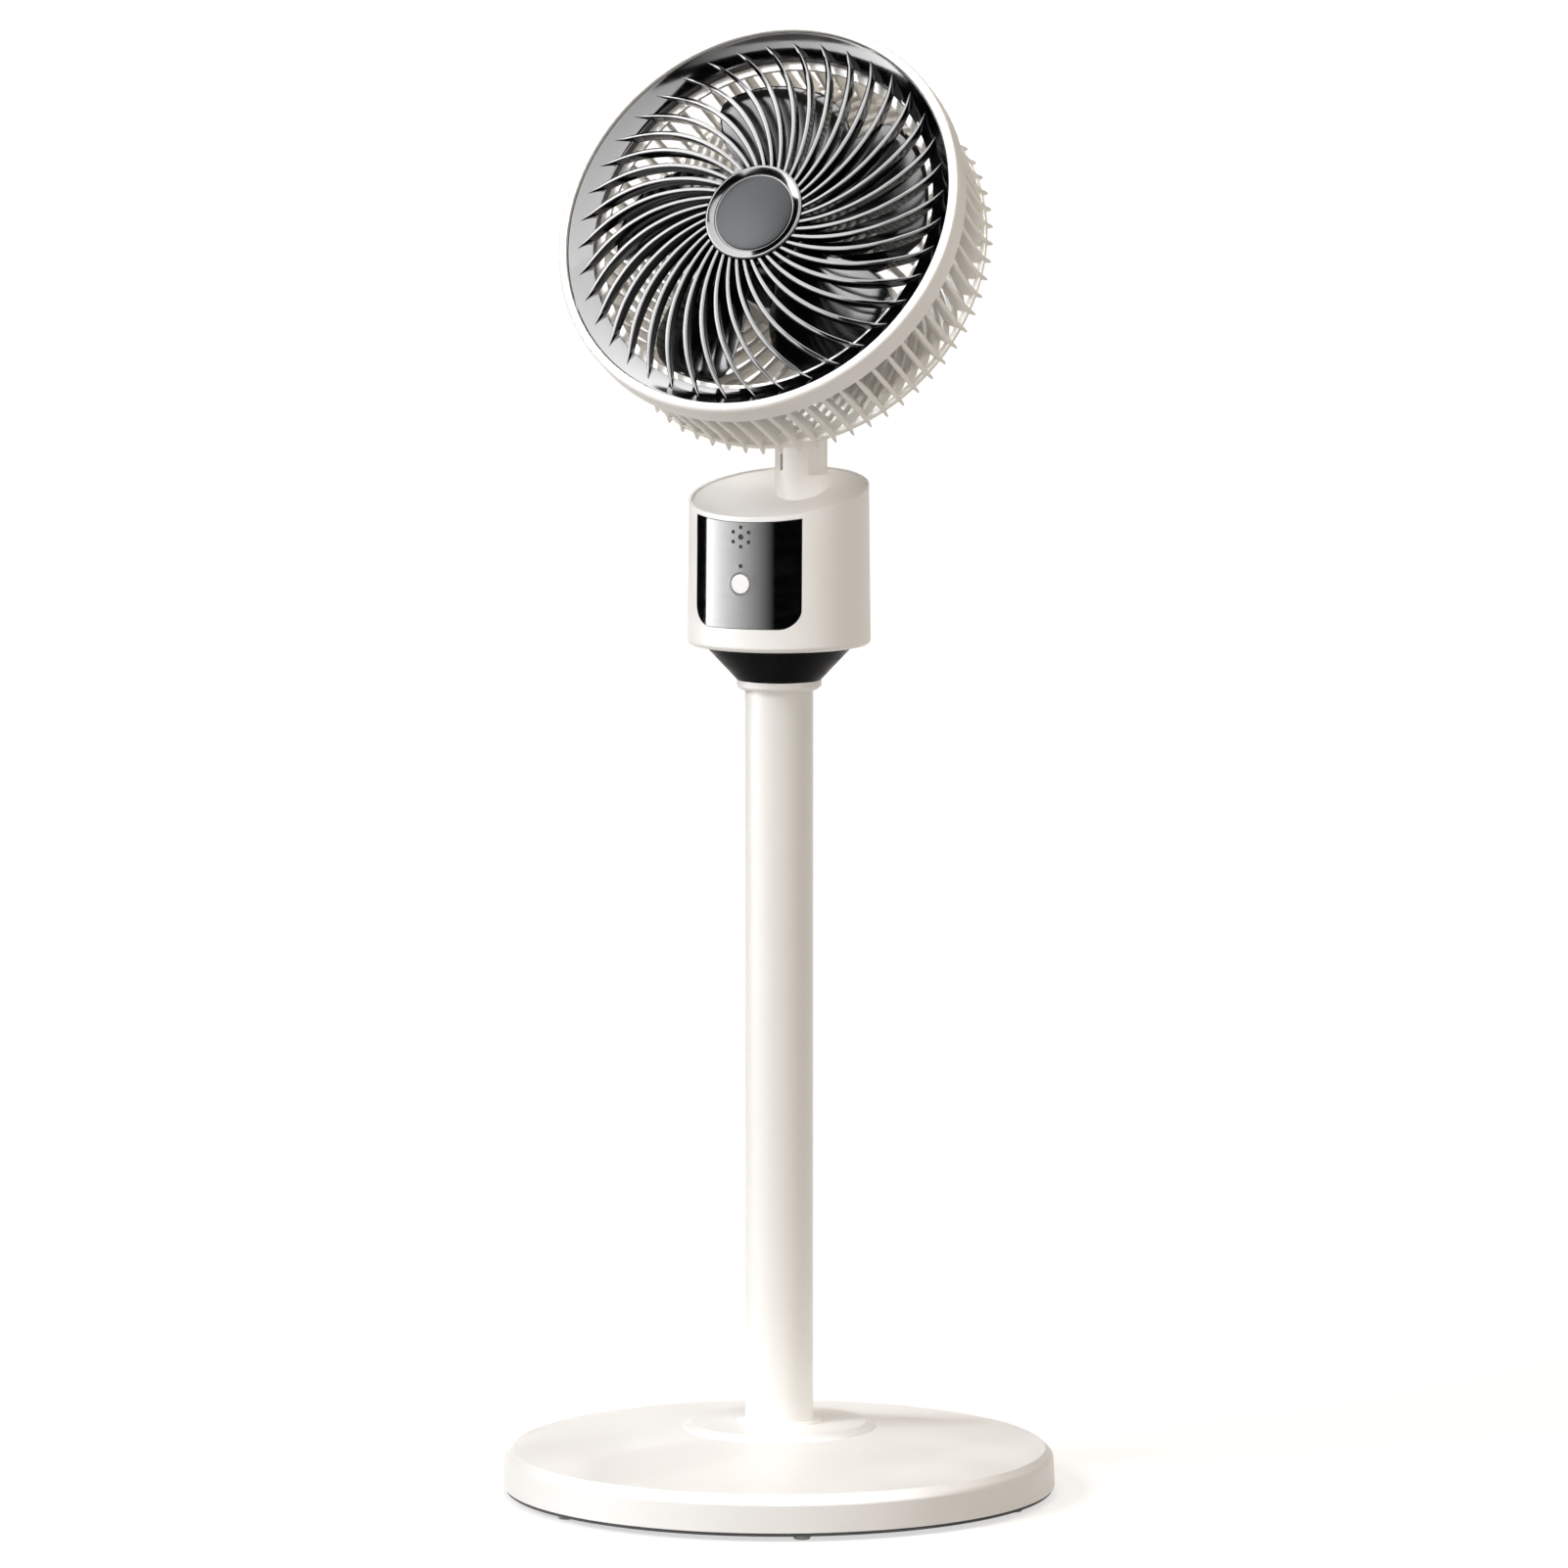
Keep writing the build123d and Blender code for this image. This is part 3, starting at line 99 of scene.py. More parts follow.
def add(tree, kind, values=None, links=None, **settings):
    """New node of a kind, with its settings, socket values and incoming links."""
    made = tree.nodes.new(kind)
    for name, value in settings.items():
        setattr(made, name, value)
    for name, value in (values or {}).items():
        made.inputs[name].default_value = value
    for name, socket in (links or {}).items():
        tree.links.new(socket, made.inputs[name])
    return made


def per_mm(size):
    """Texture scale that gives marks of a size in millimetres."""
    return 1 / (size * MM)


# %% [markdown]
# Every finish here has the same bones: a Principled shader for the substance, and a little relief for
# how its surface was made. The edge radius softens the light on corners that the solid leaves sharp,
# as a mould always does.

# %% The bones of a finish
def finish(name, colour, relief_mm, relief_depth, edge_mm=0.35, detail=3.0, **sockets):
    """Material with a fine relief and softened corners. Returns it, its tree and its shader."""
    made = bpy.data.materials.new(name)
    made.use_nodes = True
    tree = made.node_tree
    tree.nodes.clear()
    place = add(tree, "ShaderNodeTexCoord")
    grain = add(tree, "ShaderNodeTexNoise", {"Scale": per_mm(relief_mm), "Detail": detail},
                {"Vector": place.outputs["Object"]})
    corner = add(tree, "ShaderNodeBevel", {"Radius": edge_mm * MM}, samples=4)
    relief = add(tree, "ShaderNodeBump", {"Strength": 1.0, "Distance": relief_depth * MM},
                 {"Height": grain.outputs["Fac"], "Normal": corner.outputs["Normal"]})
    values = {"Base Color": linear(colour)}
    values.update({key.replace("_", " "): value for key, value in sockets.items()})
    shader = add(tree, "ShaderNodeBsdfPrincipled", values, {"Normal": relief.outputs["Normal"]})
    add(tree, "ShaderNodeOutputMaterial", links={"Surface": shader.outputs["BSDF"]})
    return made, tree, shader


def vary(tree, shader, socket, size_mm, low, high, stretch=(1, 1, 1)):
    """Lets a socket wander between two values in patches of a size."""
    place = add(tree, "ShaderNodeTexCoord")
    spread = add(tree, "ShaderNodeMapping", {"Scale": stretch}, {"Vector": place.outputs["Object"]})
    patches = add(tree, "ShaderNodeTexNoise", {"Scale": per_mm(size_mm), "Detail": 2.0},
                  {"Vector": spread.outputs["Vector"]})
    span = add(tree, "ShaderNodeMapRange", {"From Min": 0.3, "From Max": 0.7, "To Min": low, "To Max": high},
               {"Value": patches.outputs["Fac"]})
    tree.links.new(span.outputs["Result"], shader.inputs[socket])


# %% [markdown]
# The white covers are injection moulded ABS. The mould is spark eroded, which prints a very fine grain
# that spreads highlights without hiding them. The real grain is about 0.2 mm; it is drawn at 0.9 mm,
# because anything finer than that falls between pixels.

# %% Moulded ABS, satin white
WHITE = "#F6F5F3"


def moulded_abs(name, colour, roughness):
    """Satin moulded ABS: spark eroded grain and a sheen that wanders a little with handling."""
    made, tree, shader = finish(name, colour, 0.9, 0.012, IOR=1.53, Roughness=roughness)
    vary(tree, shader, "Roughness", 38, roughness - 0.05, roughness + 0.06)
    return made


white_abs = moulded_abs("moulded ABS, satin white", WHITE, 0.42)
# The cage white is the covers' ABS made a touch warmer and darker: partly the cage's own white, partly
# painted shade for the beige of its shaded inside.
cage_abs_painted_shade = moulded_abs("moulded ABS, cage white with painted shade", "#F3F1EC", 0.38)
button_abs = moulded_abs("moulded ABS, button white", "#F5F5F4", 0.3)
print("white plastics ready")

# %% [markdown]
# The pole is a steel tube with a white powder coat. Powder flows a little while it bakes and sets with
# a shallow orange peel, about 2 mm from bump to bump, that breaks up the long highlight.

# %% Powder coated steel
powder_coat, _, _ = finish(
    "powder coated steel, white", "#F2F1EE", 2.2, 0.02, detail=1.0, IOR=1.5, Roughness=0.34
)
print("powder coat ready:", powder_coat.name)

# %% [markdown]
# Gloss black ABS is moulded against a polished tool, so its look is its reflections. Fine wiping marks,
# drawn 3 mm wide, keep them from being perfect. The blades are a little duller, and the swivel cone,
# which nobody polishes, is a dull black that gives almost nothing back.

# %% High gloss black ABS
def gloss_black(name, roughness, ior, wiped_mm=14):
    """Polished black ABS whose gloss wanders where it has been wiped."""
    made, tree, shader = finish(name, "#040405", 3.0, 0.002, 0.3, IOR=ior, Roughness=roughness)
    vary(tree, shader, "Roughness", wiped_mm, roughness * 0.75, roughness * 1.4, (1, 1, 3))
    return made


piano_black = gloss_black("high gloss black ABS", 0.08, 1.5)
blade_black = gloss_black("gloss black ABS, blades", 0.13, 1.38, 30)
cone_black = gloss_black("dull black ABS, swivel cone", 0.26, 1.1)
print("black plastics ready")

# %% [markdown]
# The badge is a lightly domed disc in satin paint, a shade lighter than the grille. The paint lies over
# fine brushing, which runs one way and stretches the patches of its sheen.

# %% Satin painted badge
badge_satin, badge_tree, badge_shader = finish(
    "satin paint, graphite", "#303234", 0.5, 0.004, 0.4, IOR=1.17, Roughness=0.28
)
vary(badge_tree, badge_shader, "Roughness", 1.5, 0.25, 0.31, (1, 12, 1))
print("badge paint ready:", badge_satin.name)

# %% [markdown]
# Smaller pieces and the ones inside keep their real finishes too. They show through gaps, from below,
# and whenever someone takes the fan apart. The lamp windows in the panel are etched, so they stay dark
# where the gloss round them shines. Zinc plate is a soft grey metal whose sheen changes from grain to
# grain, and cast iron keeps the coarse skin of its sand mould.

# %% The other finishes
matte_abs, _, _ = finish("moulded ABS, matt black", "#141415", 0.8, 0.02, IOR=1.53, Roughness=0.6)
foot_tpu, _, _ = finish("moulded TPU, pale", "#E4E3DE", 1.2, 0.02, 0.5, IOR=1.5, Roughness=0.55)
smoked_lens, _, _ = finish(
    "smoked polycarbonate, etched", "#060607", 0.4, 0.003, 0.15, IOR=1.3, Roughness=0.6
)
nylon, _, _ = finish("natural nylon", "#E6E2D6", 0.7, 0.01, 0.2, IOR=1.53, Roughness=0.45)
solder_mask, _, _ = finish("solder mask, green", "#12462A", 0.6, 0.01, 0.1, IOR=1.5, Roughness=0.3)
cell_sleeve, _, _ = finish("PVC shrink sleeve, blue", "#2D5C93", 3.0, 0.03, 0.4, IOR=1.53, Roughness=0.35)
wire_pvc, _, _ = finish("PVC wire jacket, black", "#0F0F10", 1.0, 0.02, 0.3, IOR=1.53, Roughness=0.5)
zinc_steel, zinc_tree, zinc_shader = finish(
    "zinc plated steel", "#B9BCBF", 1.4, 0.006, 0.15, Metallic=1.0, Roughness=0.34
)
vary(zinc_tree, zinc_shader, "Roughness", 3, 0.26, 0.42)
cast_iron, _, _ = finish("cast iron, as cast", "#3A3A3B", 1.6, 0.12, 0.6, Metallic=0.7, Roughness=0.7)
copper_wire, _, _ = finish("enamelled copper wire", "#B5653A", 0.5, 0.03, 0.3, Metallic=1.0, Roughness=0.3)
lamp_epoxy, _, _ = finish("clear epoxy lamp", "#DADBD8", 1.0, 0.002, 0.1, IOR=1.55, Roughness=0.2)
print(len(bpy.data.materials), "materials in the file")

# %% [markdown]
# Each solid now gets the finish of the real piece.

# %% Dress the frame
DRESSING = {
    white_abs: (
        "base_cover pole_flange pole_collar box_shell top_deck neck_post tilt_bracket motor_housing "
        "front_ring"
    ),
    cage_abs_painted_shade: "rear_cage",
    button_abs: "power_button",
    powder_coat: "pole_tube",
    piano_black: "control_panel button_bezel front_grille",
    cone_black: "swivel_cone",
    blade_black: "fan_blades blade_nut",
    badge_satin: "grille_badge",
    smoked_lens: "speed_lenses status_lens",
    matte_abs: (
        "base_bottom_plate box_floor board_carrier battery_holder motor_cover push_switch "
        "switch_plunger"
    ),
    foot_tpu: "base_feet",
    nylon: "thrust_washer swivel_gear swing_pinion tilt_washers",
    solder_mask: "circuit_board",
    lamp_epoxy: "indicator_lights",
    cell_sleeve: "battery_cells",
    wire_pvc: "neck_wire",
    cast_iron: "base_weight motor_stator rotor_magnet",
    copper_wire: "stator_coils",
    zinc_steel: (
        "base_screws pole_plug pole_washer pole_bolt swivel_spindle spindle_nut floor_screws swing_motor "
        "swing_motor_screws charging_socket neck_screws tilt_bolt tilt_nut bracket_screws motor_bearings "
        "cage_screws motor_shaft rotor_can"
    ),
}


def dress(made, names):
    """Puts a finish on frame nodes."""
    for name in names.split():
        for place in NODES[name].material_slots:
            place.material = made


for made, names in DRESSING.items():
    dress(made, names)
dressed = {name for names in DRESSING.values() for name in names.split()}
print("dressed", len(dressed), "of", len(NODES), "left:", sorted(set(NODES) - dressed))

# %% [markdown]
# The head leans back on its tilt joint, so its pieces are easiest to draw lying flat: the axle along Z,
# the grille facing up, millimetres throughout. The frame knows where the axle stands and which way it
# points, and that gives the one matrix that stands every head piece up.

# %% The head's own place
SPIN = next(joint for joint in frame["record"]["behaviour"]["joints"] if joint["name"] == "blade_spin")
OUT = Vector(SPIN["axis"]).normalized()
ACROSS = Vector((1, 0, 0))
HEAD = Matrix.Translation(SPIN["pos_m"]) @ Matrix((ACROSS, OUT.cross(ACROSS), OUT)).transposed().to_4x4()
print("head stands at", [round(v, 4) for v in HEAD.translation])
print("and looks along", [round(v, 3) for v in OUT])

# %% [markdown]
# A moulding is either turned or drawn along a path. Both start from an outline whose corners carry a
# rounding, because no tool cuts a truly sharp corner. The outline is then skinned, ring to ring.

# %% Outlines and skins
def softened(corners, steps=5):
    """Closed outline of (x, y, rounding) corners, each turned on its rounding."""
    outline = []
    for k, (x, y, rounding) in enumerate(corners):
        here = Vector((x, y))
        back = Vector(corners[k - 1][:2]) - here
        ahead = Vector(corners[(k + 1) % len(corners)][:2]) - here
        reach = rounding / tan(back.angle(ahead) / 2)
        start = here + back.normalized() * reach
        end = here + ahead.normalized() * reach
        for j in range(steps + 1):
            t = j / steps
            outline.append(start * (1 - t) ** 2 + here * 2 * t * (1 - t) + end * t ** 2)
    return outline


def skin(mesh, rings, joined=False):
    """Faces from ring to ring of points; a joined skin closes on its first ring, another gets two ends."""
    count = len(rings[0])
    pairs = list(zip(rings, rings[1:])) + [(rings[-1], rings[0])] * joined
    for low, high in pairs:
        for k in range(count):
            after = (k + 1) % count
            mesh.faces.new((low[k], low[after], high[after], high[k]))
    if not joined:
        mesh.faces.new(rings[0][::-1])
        mesh.faces.new(rings[-1])


def lathe(mesh, outline, steps=180):
    """Turns a closed outline of (radius, height) round Z."""
    turns = [2 * pi * k / steps for k in range(steps)]
    rings = [[mesh.verts.new((p[0] * cos(a), p[0] * sin(a), p[1])) for p in outline] for a in turns]
    skin(mesh, rings, joined=True)


def along(line, place):
    """Height of a line of (place, height) points at a place, straight from point to point."""
    for (a, low), (b, high) in zip(line, line[1:]):
        if place <= b:
            return low + (high - low) * max(0.0, place - a) / (b - a)
    return line[-1][1]


# %% [markdown]
# Every finished mesh is welded, turned the right way out, stood up and given its finish. Corners over
# 40 degrees stay crisp and the rest are shaded smooth. Then it says which body it rides on and which
# solid of the frame it stands for.

# %% From mesh to piece
def piece(name, mesh, place, made, body, slot, *stands_for):
    """Object of a mesh drawn in millimetres."""
    bmesh.ops.remove_doubles(mesh, verts=mesh.verts, dist=0.001)
    bmesh.ops.recalc_face_normals(mesh, faces=mesh.faces)
    bmesh.ops.transform(mesh, matrix=place @ Matrix.Scale(MM, 4), verts=mesh.verts)
    shape = bpy.data.meshes.new(name)
    mesh.to_mesh(shape)
    mesh.free()
    shape.materials.append(made)
    shape.shade_smooth()
    shape.set_sharp_from_angle(angle=radians(40))
    solid = bpy.data.objects.new(name, shape)
    bpy.context.scene.collection.objects.link(solid)
    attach(solid, body)
    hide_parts(*stands_for)
    print(name, len(shape.polygons), "faces, stands for", *stands_for)
    return solid


# %% [markdown]
# The grille is one black moulding: a dished annulus, a hub ring and forty ribs that leave the hub a
# little off the radius and run on one arc. Each rib is a tall thin blade with a flat crown that catches
# the light and a back edge drawn thinner, so that it leaves the mould. It ends in a long point that
# dies into the annulus.

# %% Front grille
RIBS = 40
RIB_START_R = 28.5
RIB_END_R = 112.5
RIB_TURN = 38.6
RIB_LEAVE = 20.0
RIB_CROWN = [(28, 5.0), (50, 4.7), (66, 3.8), (80, 2.2), (92, 0.0), (102, -2.5), (107, -3.7), (112.5, -3.9)]
RIB_FOOT = [(28, -1.6), (70, -5.0), (104, -10.2), (107, -8.2), (112.5, -4.6)]
RIB_WIDTH = [(28, 2.1), (45, 2.7), (60, 3.0), (88, 3.0), (100, 2.5), (107, 1.5), (112.5, 0.12)]
RIB_TAPER = 0.5
RIB_STEPS = 26
BOWL_INNER_R = 104.4
BOWL_WIDTH = 12.7
BOWL_LOW_Z = -8
BOWL_RISE = 7.4
BOWL_CURVE = 1.3
FINE_STEPS = 240


def arc_path(start, end, heading, steps):
    """Points and headings of the one arc that leaves start along a heading and reaches end."""
    chord = Vector(end) - Vector(start)
    turn = 2 * (atan2(chord.y, chord.x) - heading)
    radius = chord.length / (2 * sin(turn / 2))
    for k in range(steps + 1):
        part = turn * k / steps
        reach = 2 * radius * sin(part / 2)
        aim = heading + part / 2
        yield Vector(start) + reach * Vector((cos(aim), sin(aim))), heading + part


def stood_across(section, point, heading):
    """Points of a section that stands across a path, at a point of it."""
    side = Vector((-sin(heading), cos(heading)))
    return [(point + side * p[0]).to_3d() + Vector((0, 0, p[1])) for p in section]


def turned_skin(mesh, rings, spot):
    """Skin over rings of points that are turned round Z to a spot."""
    place = Matrix.Rotation(spot, 4, "Z")
    skin(mesh, [[mesh.verts.new(place @ p) for p in ring] for ring in rings])


def grille_rib(mesh, spot):
    """Rib along an arc from +X, turned to its spot; crown, foot and width follow the distance out."""
    end = (RIB_END_R * cos(radians(RIB_TURN)), RIB_END_R * sin(radians(RIB_TURN)))
    rings = []
    for point, heading in arc_path((RIB_START_R, 0), end, radians(RIB_LEAVE), RIB_STEPS):
        away = point.length
        top, low, half = along(RIB_CROWN, away), along(RIB_FOOT, away), along(RIB_WIDTH, away) / 2
        soft = min(half * 0.5, abs(top - low) * 0.3)
        section = softened([
            (half * RIB_TAPER, low, soft * RIB_TAPER), (half, top, soft), (-half, top, soft),
            (-half * RIB_TAPER, low, soft * RIB_TAPER),
        ], 3)
        rings.append(stood_across(section, point, heading))
    turned_skin(mesh, rings, spot)


def make_grille():
    """Annulus, hub ring and ribs."""
    mesh = bmesh.new()
    bowl = [
        (BOWL_INNER_R + BOWL_WIDTH * k / 10, BOWL_LOW_Z + BOWL_RISE * (k / 10) ** BOWL_CURVE, 0.0)
        for k in range(1, 10)
    ]
    lathe(mesh, softened([
        (BOWL_INNER_R, -13.2, 0.3), (BOWL_INNER_R, BOWL_LOW_Z, 0.6), *bowl, (117.1, -0.6, 0.25),
        (117.1, -11.5, 0.3), (115.3, -11.5, 0.3), (115.3, -3.6, 0.3), (106.0, -9.6, 0.3), (106.0, -13.2, 0.3),
    ]), FINE_STEPS)
    lathe(mesh, softened([
        (0, -2, 0), (29.75, -2, 0.4), (29.75, 6.4, 1.3), (28.2, 6.4, 0.5), (24.4, 5.2, 0.3),
        (24.1, 4.6, 0.2), (0, 4.6, 0),
    ]))
    for k in range(RIBS):
        grille_rib(mesh, 2 * pi * k / RIBS)
    return piece("grille_moulding", mesh, HEAD, piano_black, "head", "black_gloss", "front_grille")


make_grille()

# %% [markdown]
# The white ring round the grille is turned from one outline: a full round outside, a small one towards
# the dark groove. The badge is a disc that rises 1.8 mm from its edge to its middle, inside the hub ring.

# %% Front ring and badge
def make_turned(name, corners, made, slot, stands_for):
    """Turned head piece of one outline."""
    mesh = bmesh.new()
    lathe(mesh, softened(corners), FINE_STEPS)
    return piece(name, mesh, HEAD, made, "head", slot, stands_for)


make_turned("ring_moulding", [
    (117.6, -1.6, 0.2), (120.5, -3.0, 0.4), (120.5, -13.5, 0.3), (122.9, -13.5, 0.4), (122.9, 1.6, 3.5),
    (117.6, 1.5, 1.0),
], white_abs, "white_abs", "front_ring")
make_turned("badge_disc", [
    (0, 4.7, 0), (23.3, 4.7, 0.2), (23.3, 5.3, 0.3), (20.5, 5.75, 0), (17, 6.2, 0), (12, 6.65, 0),
    (6, 6.95, 0), (0, 7.05, 0),
], badge_satin, "badge_satin", "grille_badge")

# %% [markdown]
# The rear cage is white: hoops, a wide inner lip behind the annulus, sixty-six side ribs and as many
# slats that swirl in to the motor. A side rib is a leaf. It is thin where it leaves the front hoop,
# widest half way back, and ends in a small blunt point just outside the corner hoop. SIDE_RIB holds its
# height, outer radius, inner radius and width from front to back. Every other slat is a short one that
# starts at the middle hoop, so that the slats don't crowd each other near the motor.

# %% Rear cage
CAGE_RIBS = 66
HOOP_STEPS = 3 * CAGE_RIBS
SLAT_TURN = -45.0
SLAT_START_R = 40.0
SHORT_SLAT_R = 78.0
SLAT_END_R = 110
SLAT_LAP = 2.5
SIDE_RIB = [
    (-13.4, 119.2, 114.6, 1.6), (-19.0, 118.9, 112.6, 2.4), (-29.0, 118.0, 110.6, 3.1),
    (-41.0, 116.9, 108.6, 3.4), (-52.0, 116.0, 106.8, 3.2), (-60.0, 115.7, 105.2, 2.9),
    (-65.0, 116.4, 104.0, 2.5), (-68.0, 117.6, 104.0, 1.8), (-69.7, 117.8, 106.0, 1.0),
]
SLAT_WIDTH = [(40, 3.0), (60, 3.6), (95, 3.8), (104, 3.2), (110, 2.2)]
SLAT_FRONT_Z = -61.0
SLAT_BACK_Z = -69.9


def side_rib(mesh, spot):
    """Leaf-shaped rib from the front hoop to its point at the corner."""
    rings = []
    for z, outer, inner, width in SIDE_RIB:
        half = width / 2
        section = softened([
            (inner, -half * 0.6, half * 0.4), (outer, -half, half * 0.8), (outer, half, half * 0.8),
            (inner, half * 0.6, half * 0.4),
        ], 3)
        rings.append([Vector((p[0], p[1], z)) for p in section])
    turned_skin(mesh, rings, spot)


def make_cage():
    """Hoops, lip, hub, side ribs and slats."""
    mesh = bmesh.new()
    hoops = [
        [(99.6, -15.5, 0.5), (99.6, -13.5, 0.5), (113.9, -13.5, 0), (113.9, -12.5, 0.3),
         (117.7, -12.5, 0.3), (117.7, -13.5, 0), (120.4, -13.5, 0.4), (120.4, -16.0, 0.6),
         (113.9, -16.0, 0.3), (113.9, -15.5, 0)],
        [(115.6, -67.2, 1.2), (115.6, -63.8, 1.2), (112.0, -63.8, 1.2), (112.0, -67.2, 1.2)],
        [(79.4, -69.0, 0.9), (79.4, -64.0, 0.9), (76.6, -64.0, 0.9), (76.6, -69.0, 0.9)],
        [(42.0, -70.0, 0.6), (42.0, -61.0, 0.6), (36.1, -61.0, 0.6), (36.1, -70.0, 0.6)],
    ]
    for hoop in hoops:
        lathe(mesh, softened(hoop, 4), HOOP_STEPS)
    step = 2 * pi / CAGE_RIBS
    for k in range(CAGE_RIBS):
        side_rib(mesh, k * step + radians(SLAT_TURN))
        slat(mesh, k * step, SHORT_SLAT_R if k % 2 else SLAT_START_R)
    return piece("cage_moulding", mesh, HEAD, cage_abs_painted_shade, "head", "cage_white", "rear_cage")


def slat(mesh, spot, start_r):
    """Rear slat along the cage's arc; a short one keeps only the stretch outside the middle hoop."""
    end = (SLAT_END_R * cos(radians(SLAT_TURN)), SLAT_END_R * sin(radians(SLAT_TURN)))
    rings = []
    for point, heading in arc_path((SLAT_START_R, 0), end, radians(SLAT_TURN / 2), 30):
        away = point.length
        if away < start_r - SLAT_LAP:
            continue
        half = along(SLAT_WIDTH, away) / 2
        section = softened([(x, z, 0.9) for x, z in (
            (half, SLAT_BACK_Z), (half, SLAT_FRONT_Z), (-half, SLAT_FRONT_Z), (-half, SLAT_BACK_Z)
        )], 3)
        rings.append(stood_across(section, point, heading))
    turned_skin(mesh, rings, spot)


make_cage()

# %% [markdown]
# Five wide blades almost close the middle of the fan. A blade is a bowed strip wrapped on cylinders:
# steep at the hub, flat at the tip, and leaning forward as it goes out, with round corners at the tip.

# %% Fan blades
BLADES = 5
BLADE_MIDDLE_Z = -28.5
BLADE_PITCH = [(20, 38), (46, 27), (69, 20), (97, 15)]
BLADE_CHORD = [(20, 26), (33, 46), (46, 62), (58, 76), (69, 81), (86, 75), (92, 66), (95.5, 52), (97, 30)]
BLADE_LEAD = [(20, 0.0), (46, 0.09), (69, 0.19), (97, 0.33)]
BLADE_STATIONS = (20, 26, 33, 40, 46, 54, 62, 69, 76, 82, 86, 89, 92, 94, 95.5, 96.5, 97)
BLADE_BOW = 0.05
BLADE_HALF_T = 0.9
BLADE_SPOT = -60


def blade_ring(mesh, radius, spot):
    """Closed section of a blade on a cylinder: front face out, back face home."""
    chord, pitch = along(BLADE_CHORD, radius), radians(along(BLADE_PITCH, radius))
    places = [k / 12 - 0.5 for k in range(13)]
    faces = [(u, 1) for u in places] + [(u, -1) for u in reversed(places[1:-1])]
    ring = []
    for u, face in faces:
        bow = BLADE_BOW * chord * (1 - 4 * u * u)
        rise = bow + face * BLADE_HALF_T * (1 - (2 * u) ** 4)
        across = u * chord * cos(pitch) - rise * sin(pitch)
        height = BLADE_MIDDLE_Z + u * chord * sin(pitch) + rise * cos(pitch)
        turn = spot + along(BLADE_LEAD, radius) + across / radius
        ring.append(mesh.verts.new((radius * cos(turn), radius * sin(turn), height)))
    return ring


def make_blades():
    """Hub cup and blades."""
    mesh = bmesh.new()
    lathe(mesh, softened([
        (3.05, -40, 0), (8, -40, 0.3), (8, -19.4, 0.5), (21.4, -19.4, 0.8), (21.4, -42, 0.4), (24, -42, 0.4),
        (24, -17, 3.0), (3.05, -17, 0),
    ]))
    for k in range(BLADES):
        spot = 2 * pi * k / BLADES + radians(BLADE_SPOT)
        skin(mesh, [blade_ring(mesh, radius, spot) for radius in BLADE_STATIONS])
    return piece("blade_moulding", mesh, HEAD, blade_black, "rotor", "black_gloss", "fan_blades")


make_blades()

# %% [markdown]
# The studio is a white floor and white surroundings. The floor is grey by nature and gains light only
# where the camera or a reflection looks at it, which is how it comes out white and still keeps the
# fan's soft shadow.

# %% Floor and surroundings
FLOOR_SIZE = 120.0
FLOOR_LIFT = 0.63
FILL_COLOUR = "#FFF2E3"
FILL_STRENGTH = 0.6


def seen_directly(tree):
    """Socket that is 1 for rays from the camera, a reflection or glass, and 0 for diffuse light."""
    path = add(tree, "ShaderNodeLightPath")
    first = add(tree, "ShaderNodeMath", operation="MAXIMUM")
    tree.links.new(path.outputs["Is Camera Ray"], first.inputs[0])
    tree.links.new(path.outputs["Is Glossy Ray"], first.inputs[1])
    both = add(tree, "ShaderNodeMath", operation="MAXIMUM")
    tree.links.new(first.outputs["Value"], both.inputs[0])
    tree.links.new(path.outputs["Is Transmission Ray"], both.inputs[1])
    return both.outputs["Value"]


def make_floor():
    """Large pale floor under the fan."""
    shape = bpy.data.meshes.new("floor")
    half = FLOOR_SIZE / 2
    corners = [(-half, -half, 0), (half, -half, 0), (half, half, 0), (-half, half, 0)]
    shape.from_pydata(corners, [], [(0, 1, 2, 3)])
    floor = bpy.data.objects.new("floor", shape)
    bpy.context.scene.collection.objects.link(floor)
    paint = bpy.data.materials.new("matt floor paint")
    paint.use_nodes = True
    tree = paint.node_tree
    tree.nodes.clear()
    matt = add(tree, "ShaderNodeBsdfDiffuse", {"Color": linear("#BEBDBB")})
    lift = add(tree, "ShaderNodeMath", {1: FLOOR_LIFT}, {0: seen_directly(tree)}, operation="MULTIPLY")
    glow = add(tree, "ShaderNodeEmission", {"Color": linear("#FFFFFF")}, {"Strength": lift.outputs["Value"]})
    both = add(tree, "ShaderNodeAddShader", links={0: matt.outputs["BSDF"], 1: glow.outputs["Emission"]})
    add(tree, "ShaderNodeOutputMaterial", links={"Surface": both.outputs["Shader"]})
    shape.materials.append(paint)
    return floor


def make_surroundings():
    """White as a background, and a dimmer warm fill as light."""
    world = bpy.data.worlds.new("surroundings")
    bpy.context.scene.world = world
    world.use_nodes = True
    tree = world.node_tree
    tree.nodes.clear()
    white = add(tree, "ShaderNodeBackground", {"Color": linear("#FFFFFF"), "Strength": 1.0})
    fill = add(tree, "ShaderNodeBackground", {"Color": linear(FILL_COLOUR), "Strength": FILL_STRENGTH})
    choice = add(tree, "ShaderNodeMixShader", links={
        0: seen_directly(tree), 1: fill.outputs["Background"], 2: white.outputs["Background"],
    })
    add(tree, "ShaderNodeOutputWorld", links={"Surface": choice.outputs["Shader"]})


make_floor()
make_surroundings()
print("floor and surroundings ready")

# %% [markdown]
# One large soft lamp stands in front on the left, about forty degrees up. It is built as a sun with a
# wide disc, so that it is as bright on the floor far away as on the fan. The right side of every round
# piece falls out of its reach and is left to the warm fill.

# %% Key light
KEY_AZIMUTH = -33.0
KEY_ELEVATION = 37.0
KEY_COLOUR = "#EFF6FF"
KEY_STRENGTH = 1.75
KEY_DISC = 20.0


